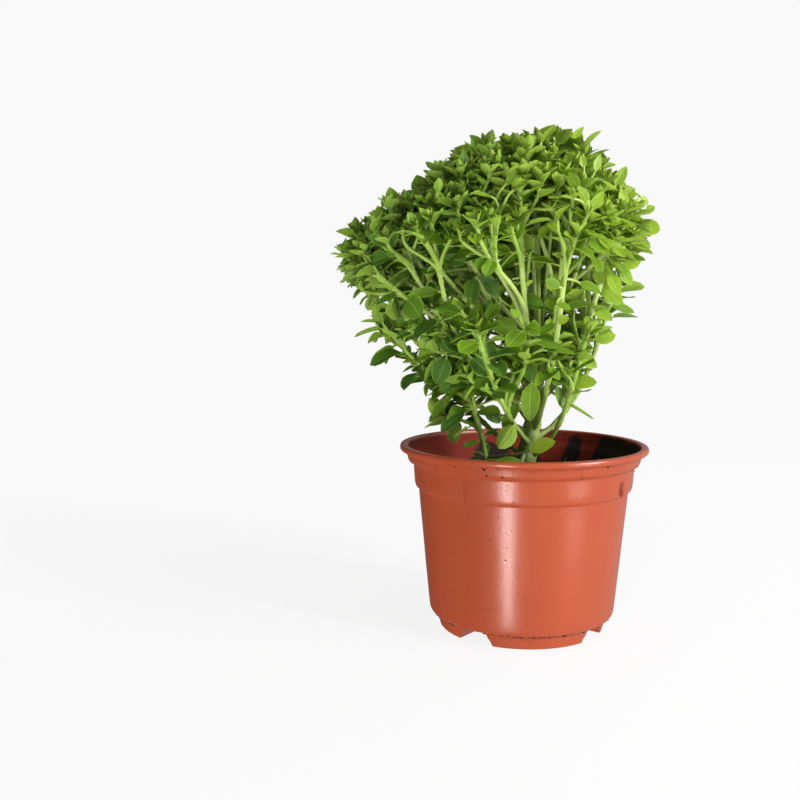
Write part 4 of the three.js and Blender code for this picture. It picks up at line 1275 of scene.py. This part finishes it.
# Leaves with a place of their own: root and tip as the camera sees them (pixels across and down
# the picture, and y in millimetres), upper face, width in pixels, age and tone.
# A leaf that looks darker, as one in shade does, is given a higher age and tone and so a deeper
# green, which is partly painted shade; a tone past 0.8 also adds the painted bluish sheen.
PLACED_LEAVES = [
    ((467, 262, -42), (441, 259, -46), (-0.1, -1, 0.2), 13, 0.6, 0.75),
    ((455, 248, -46), (442, 236, -50), (-0.3, -1, 0.3), 14, 0.35, 0.4),
    ((440, 291, -46), (407, 294, -50), (-0.1, -0.9, 0.45), 12, 0.5, 0.5),
    ((437, 272, -32), (408, 270, -38), (0.1, -0.45, 0.9), 9, 0.5, 0.45),
    ((521, 251, -40), (500, 263, -46), (-0.2, -1, 0.3), 10, 0.55, 0.55),
    ((516, 264, -38), (493, 268, -42), (0, -0.6, 0.8), 10, 0.9, 0.95),
    ((514, 279, -36), (492, 280, -40), (0, -0.55, 0.85), 10, 0.95, 1),
    ((519, 283, -40), (497, 291, -44), (0.1, -0.8, 0.5), 10, 0.6, 0.6),
    ((500, 303, -30), (485, 319, -36), (-0.2, -1, 0.1), 12, 0.45, 0.45),
    ((494, 318, -31), (478, 337, -37), (-0.1, -1, 0.2), 11, 0.4, 0.4),
    ((528, 319, -36), (512, 303, -40), (0, -1, 0.15), 16, 0.5, 0.45),
    ((500, 299, -34), (483, 272, -38), (0.2, -1, 0.1), 15, 0.9, 0.95),
    ((538, 335, -46), (555, 324, -49), (0.1, -0.7, 0.7), 11, 0.7, 0.8),
    ((537, 268, -26), (544, 259, -30), (0.2, -0.9, 0.3), 8, 0.3, 0.5),
    ((517, 250, -42), (535, 236, -46), (0.1, -0.6, 0.7), 9, 0.1, 0.4),
    ((523, 251, -36), (546, 260, -40), (0.1, -0.3, 0.95), 8, 0.6, 0.6),
    ((561, 288, -58), (545, 280, -60), (0, -0.8, 0.5), 11, 0.85, 0.85),
    ((556, 322, -50), (569, 317, -52), (0, -0.9, 0.4), 10, 0.15, 0.5),
    ((604, 261, -24), (599, 285, -26), (-0.1, -1, 0.05), 16, 0.55, 0.2),
    ((609, 271, -28), (620, 295, -31), (0.05, -1, 0.1), 13, 0.55, 0.15),
    ((616, 261, -24), (631, 286, -26), (0.2, -1, 0.2), 14, 0.5, 0.55),
    ((621, 259, -18), (641, 262, -18), (0.2, -1, 0.1), 19, 0.2, 0.75),
    ((641, 225, -16), (660, 231, -16), (0.25, -1, 0.15), 17, 0.45, 0.05),
    ((629, 238, -20), (651, 248, -20), (0.3, -0.9, 0.4), 12, 0.6, 0.3),
    ((628, 201, -24), (631, 186, -25), (0.2, -1, 0), 13, 0.3, 0.2),
    ((590, 206, -46), (580, 187, -49), (-0.2, -1, 0.1), 12, 0.12, 0.15),
    ((591, 206, -46), (602, 189, -49), (0.2, -1, 0.1), 13, 0.2, 0.1),
    ((575, 203, -48), (560, 194, -52), (0, -0.7, 0.6), 9, 0.2, 0.3),
    ((584, 236, -42), (567, 245, -46), (0, -1, 0.1), 16, 0.35, 0.95),
    ((600, 286, -17), (624, 303, -19), (0.1, -1, 0.3), 17, 0.5, 0.5),
    ((610, 304, -12), (635, 312, -12), (0.2, -0.8, 0.6), 11, 0.95, 0.9),
    ((588, 303, -16), (613, 320, -18), (0.1, -0.9, 0.5), 15, 0.4, 0.6),
    ((594, 340, -10), (616, 335, -10), (0.1, -1, 0.2), 14, 0.55, 0.2),
    ((578, 282, -52), (601, 293, -54), (0, -0.7, 0.7), 13, 0.7, 0.9),
    ((594, 327, -11), (613, 331, -11), (0.1, -0.4, 0.9), 8, 0.9, 0.9),
    ((594, 236, -36), (635, 245, -34), (0, -0.35, 0.95), 9, 0.4, 0.7),
    ((600, 213, -40), (615, 196, -42), (0.2, -1, 0.2), 11, 0.4, 0.4),
    ((646, 211, -12), (655, 206, -12), (0.2, -0.8, 0.6), 9, 0.1, 0.3),
    ((640, 196, -14), (648, 206, -13), (0.2, -0.8, 0.6), 9, 0.1, 0.3),
    ((532, 381, -26), (529, 421, -30), (-0.2, -1, 0.05), 20, 0.6, 0.6),
    ((528, 451, -26), (555, 440, -28), (-0.15, -0.8, 0.7), 17, 0.05, 0.05),
    ((515, 424, -22), (498, 449, -26), (0.1, 1, -0.15), 19, 0.4, 0.7),
    ((519, 402, -16), (502, 428, -20), (-0.3, -0.9, 0.3), 13, 0.5, 0.9),
    ((523, 354, -30), (532, 381, -34), (0, -1, 0.1), 18, 0.9, 1),
    ((519, 380, -24), (499, 385, -28), (0, -1, 0.2), 20, 0.8, 0.97),
    ((570, 383, -12), (597, 381, -14), (0, -0.9, 0.4), 15, 0.55, 0.15),
    ((573, 352, -12), (598, 366, -14), (0.1, -0.9, 0.4), 15, 0.5, 0.1),
    ((545, 350, -44), (576, 352, -46), (0, -0.45, 0.9), 12, 0.85, 0.9),
    ((556, 385, -9), (567, 411, -10), (0.5, -0.9, 0.2), 14, 0.9, 0.8),
    ((562, 380, -7), (576, 400, -8), (0.3, -0.9, 0.3), 13, 0.9, 0.6),
    ((564, 401, -7), (595, 419, -8), (0.25, -0.3, 1), 8, 0.6, 0.6),
    ((447, 357, -28), (436, 384, -32), (0, -1, 0.1), 20, 0.75, 0.95),
    ((471, 357, -38), (491, 377, -42), (0, -1, 0.2), 20, 0.7, 0.9),
    ((519, 356, -32), (489, 373, -36), (0, -0.7, 0.7), 13, 0.5, 0.8),
    ((501, 345, -34), (469, 356, -38), (0, -0.6, 0.8), 13, 0.8, 0.95),
    ((562, 371, -10), (584, 362, -12), (0, -0.4, 0.9), 9, 0.8, 0.9),
    ((497, 391, -12), (510, 410, -14), (0, -0.9, 0.3), 11, 0.6, 0.3),
    ((552, 384, -12), (541, 394, -14), (0, -0.8, 0.5), 8, 0.7, 0.9),
    ((483, 407, -10), (500, 424, -10), (0, -0.9, 0.3), 12, 0.95, 1),
    ((455, 382, -22), (440, 392, -26), (0, -1, 0.2), 14, 0.6, 0.9),
    ((480, 395, -16), (500, 378, -20), (0, -0.8, 0.5), 13, 0.6, 0.7),
    ((548, 366, -38), (560, 380, -41), (0.2, -0.8, 0.5), 9, 0.6, 0.8),
    ((545, 372, -34), (534, 386, -38), (-0.2, -0.9, 0.3), 9, 0.4, 0.5),
    ((549, 360, -42), (565, 357, -45), (0, -0.5, 0.9), 9, 0.7, 0.6),
    ((556, 303, -54), (571, 309, -56), (0, -0.7, 0.6), 9, 0.6, 0.7),
    ((512, 341, -36), (503, 333, -39), (0, -0.8, 0.6), 9, 0.15, 0.6),
    ((514, 343, -38), (523, 352, -41), (0, -0.9, 0.4), 9, 0.1, 0.5),
    ((512, 344, -38), (505, 352, -41), (0, -0.9, 0.4), 8, 0.1, 0.5),
    ((398, 246, -40), (380, 262, -44), (-0.3, -0.9, 0.4), 12, 0.5, 0.4),
    ((432, 245, -42), (452, 250, -45), (0, -0.8, 0.6), 10, 0.5, 0.5),
    ((372, 247, -30), (352, 254, -32), (-0.2, -1, 0.3), 14, 0.3, 0.2),
    ((388, 281, -26), (404, 300, -28), (0, -0.9, 0.4), 12, 0.8, 0.9),
    ((410, 318, -28), (424, 299, -30), (0, -0.9, 0.4), 9, 0.4, 0.6),
    ((414, 330, -26), (396, 337, -30), (0, -0.7, 0.7), 9, 0.5, 0.6),
    ((464, 169, -44), (464, 150, -46), (0, -1, 0.5), 10, 0.45, 0.6),
    ((477, 150, -26), (472, 137, -28), (-0.3, -1, 0.5), 8, 0.4, 0.6),
    ((493, 197, -70), (471, 192, -74), (0.2, -0.6, 0.9), 9, 0.4, 0.5),
    ((473, 193, -66), (453, 201, -70), (0, -0.6, 0.8), 8, 0.95, 1),
    ((505, 185, -70), (517, 174, -72), (0.2, -0.9, 0.6), 10, 0.5, 0.5),
    ((512, 191, -72), (528, 181, -76), (0.2, -0.6, 0.8), 8, 0.45, 0.5),
    ((527, 191, -70), (546, 184, -72), (0, -0.5, 0.9), 6, 0.45, 0.5),
    ((541, 182, -62), (555, 168, -60), (-0.4, -0.7, 0.6), 8, 0.8, 0.9),
    ((566, 162, -52), (548, 157, -54), (0.1, -0.4, 1), 8, 0.5, 1),
    ((579, 189, -68), (569, 171, -66), (-0.4, -1, 0.3), 12, 0.7, 0.6),
    ((569, 167, -54), (567, 149, -52), (-0.3, -1, 0.4), 8, 0.6, 0.6),
    ((584, 169, -54), (582, 155, -54), (0.3, -1, 0.4), 8, 0.35, 0.3),
    ((595, 172, -46), (600, 154, -44), (0.5, -1, 0.2), 9, 0.3, 0.3),
    ((614, 186, -28), (627, 166, -26), (0.5, -1, 0.2), 12, 0.6, 0.4),
    ((601, 180, -52), (619, 190, -54), (0.2, -0.5, 0.9), 7, 0.4, 0.3),
    ((588, 203, -72), (580, 185, -74), (-0.3, -1, 0.5), 10, 0.35, 0.35),
    ((592, 210, -68), (604, 191, -68), (0.4, -1, 0.4), 11, 0.4, 0.35),
    ((576, 199, -76), (560, 196, -78), (0, -0.6, 0.8), 6, 0.35, 0.4),
    ((620, 199, -36), (636, 188, -32), (0.3, -1, 0.6), 10, 0.5, 0.4),
    ((571, 140, -16), (584, 126, -12), (0.4, -1, 0.5), 7, 0.3, 0.3),
    ((551, 209, -70), (569, 203, -74), (0, -0.5, 0.9), 9, 0.95, 0.95),
]


def hang_leaves(stems, stem_material, leaf_material):
    """The placed leaves, each on a slim stalk from a near place on a stem or the trunk that it can
    leave without a turn back. Those on the dome are pointed."""
    spots = np.concatenate([[trunk_point(height) for height in np.linspace(80, 150, 36)]]
                           + [shoot.points for _, shoots in stems for shoot in shoots])
    bodies = []
    leaves = {kind: [] for kind in SECTIONS}
    rng = np.random.default_rng(78)
    for root, tip, face, width, age, tone in PLACED_LEAVES:
        (root, scale), (tip, _) = seen_at(*root), seen_at(*tip)
        along = unit(tip - root)
        face = unit(np.array(face) - along * (np.array(face) @ along))
        away = root - spots
        distance = np.linalg.norm(away, axis=1)
        start = spots[np.argmin(1.7 * distance - away @ along + 30 * (distance < 1.5))]
        stalk = on_route(route(start, unit(root - start + UP * 2), root + along * 1.2, along),
                         np.linspace(0, 1, 9))
        bodies.append(tube(stalk, np.linspace(0.8, 0.5, 9), 7))
        numbers = dict(root=root, along=along, face=face, length=np.linalg.norm(tip - root),
                       width=width * scale, stalk=0.06, droop=rng.uniform(0, 0.12),
                       fold=rng.uniform(0.1, 0.35), bend=rng.uniform(-0.05, 0.05),
                       turn=rng.uniform(-0.15, 0.15), age=age, tone=tone)
        leaves["pointed" if root[2] > 210 else "broad"].append(
            {key: np.array([number]) for key, number in numbers.items()})
    make_piece("placed_stalks", joined(bodies), stem_material, ["main_stem"],
               {"age": 0.35, "tone": 0.3}, sharp=80)
    make_leaves("placed_leaves", leaves, leaf_material, "main_stem")


def make_trunk(material):
    """The trunk: its profile's radius with four ribs, finer grooves, a ring at each pair of stems
    and a spread foot in the soil."""
    heights = np.linspace(64, 151, 60)
    x = np.interp(heights, TRUNK[:, 1], TRUNK[:, 0]) - 2 * (1 - smooth(heights, 90, 120))
    radii = np.interp(heights, TRUNK[:, 1], TRUNK[:, 2])
    radii = radii * np.interp(heights, [64, 90, 150], [1.25, 1.3, 1.1])
    rings_at = HIGHEST_FORK - FORK_STEP * np.arange(STEM_PAIRS + FLANK_PAIRS)
    radii = radii + 0.5 * np.exp(-((heights[:, None] - rings_at) / 1.2) ** 2).sum(1)
    radii = radii + 1.1 * np.exp(-((heights - 70) / 3.5) ** 2)
    turn = turns(24)
    r = radii[:, None] * (1 + 0.07 * np.cos(4 * turn[None])
                          + 0.035 * np.cos(11 * turn[None] + heights[:, None] / 9))
    centre = np.stack([x, 0 * x, heights], -1)
    rings = centre[:, None] + r[..., None] * circle(24)
    beside = on_route(np.array([[-2, -11, 64], [-3, -11.5, 78], [-2, -8, 86], [1, -3, 92.0]]),
                      np.linspace(0, 1, 16))
    body = joined([ring_bodies(rings[None], centre[:1], centre[-1:]),
                   tube(beside, np.linspace(1.9, 1.4, 16), 8, 0.3, ridge=0.06)])
    make_piece("trunk", body, material, ["main_stem"], {"age": 0.9, "tone": 0.3},
               sharp=80)


# ---------------------------------------------------------------- the whole plant
add_camera()
add_studio()
add_floor(floor_finish())
LEAF, STEM, SOIL = leaf_finish(), stem_finish(), soil_finish()
make_pot(pot_finish())
make_soil(SOIL)
make_crumbs(SOIL)
make_root_hairs(hair_finish())
make_trunk(STEM)
STEMS = leafy_stems() + flank_stems() + thin_stem() + front_branches()
grow_side_shoots(STEMS)
make_stems(STEMS, STEM, LEAF)
hang_leaves(STEMS, STEM, LEAF)
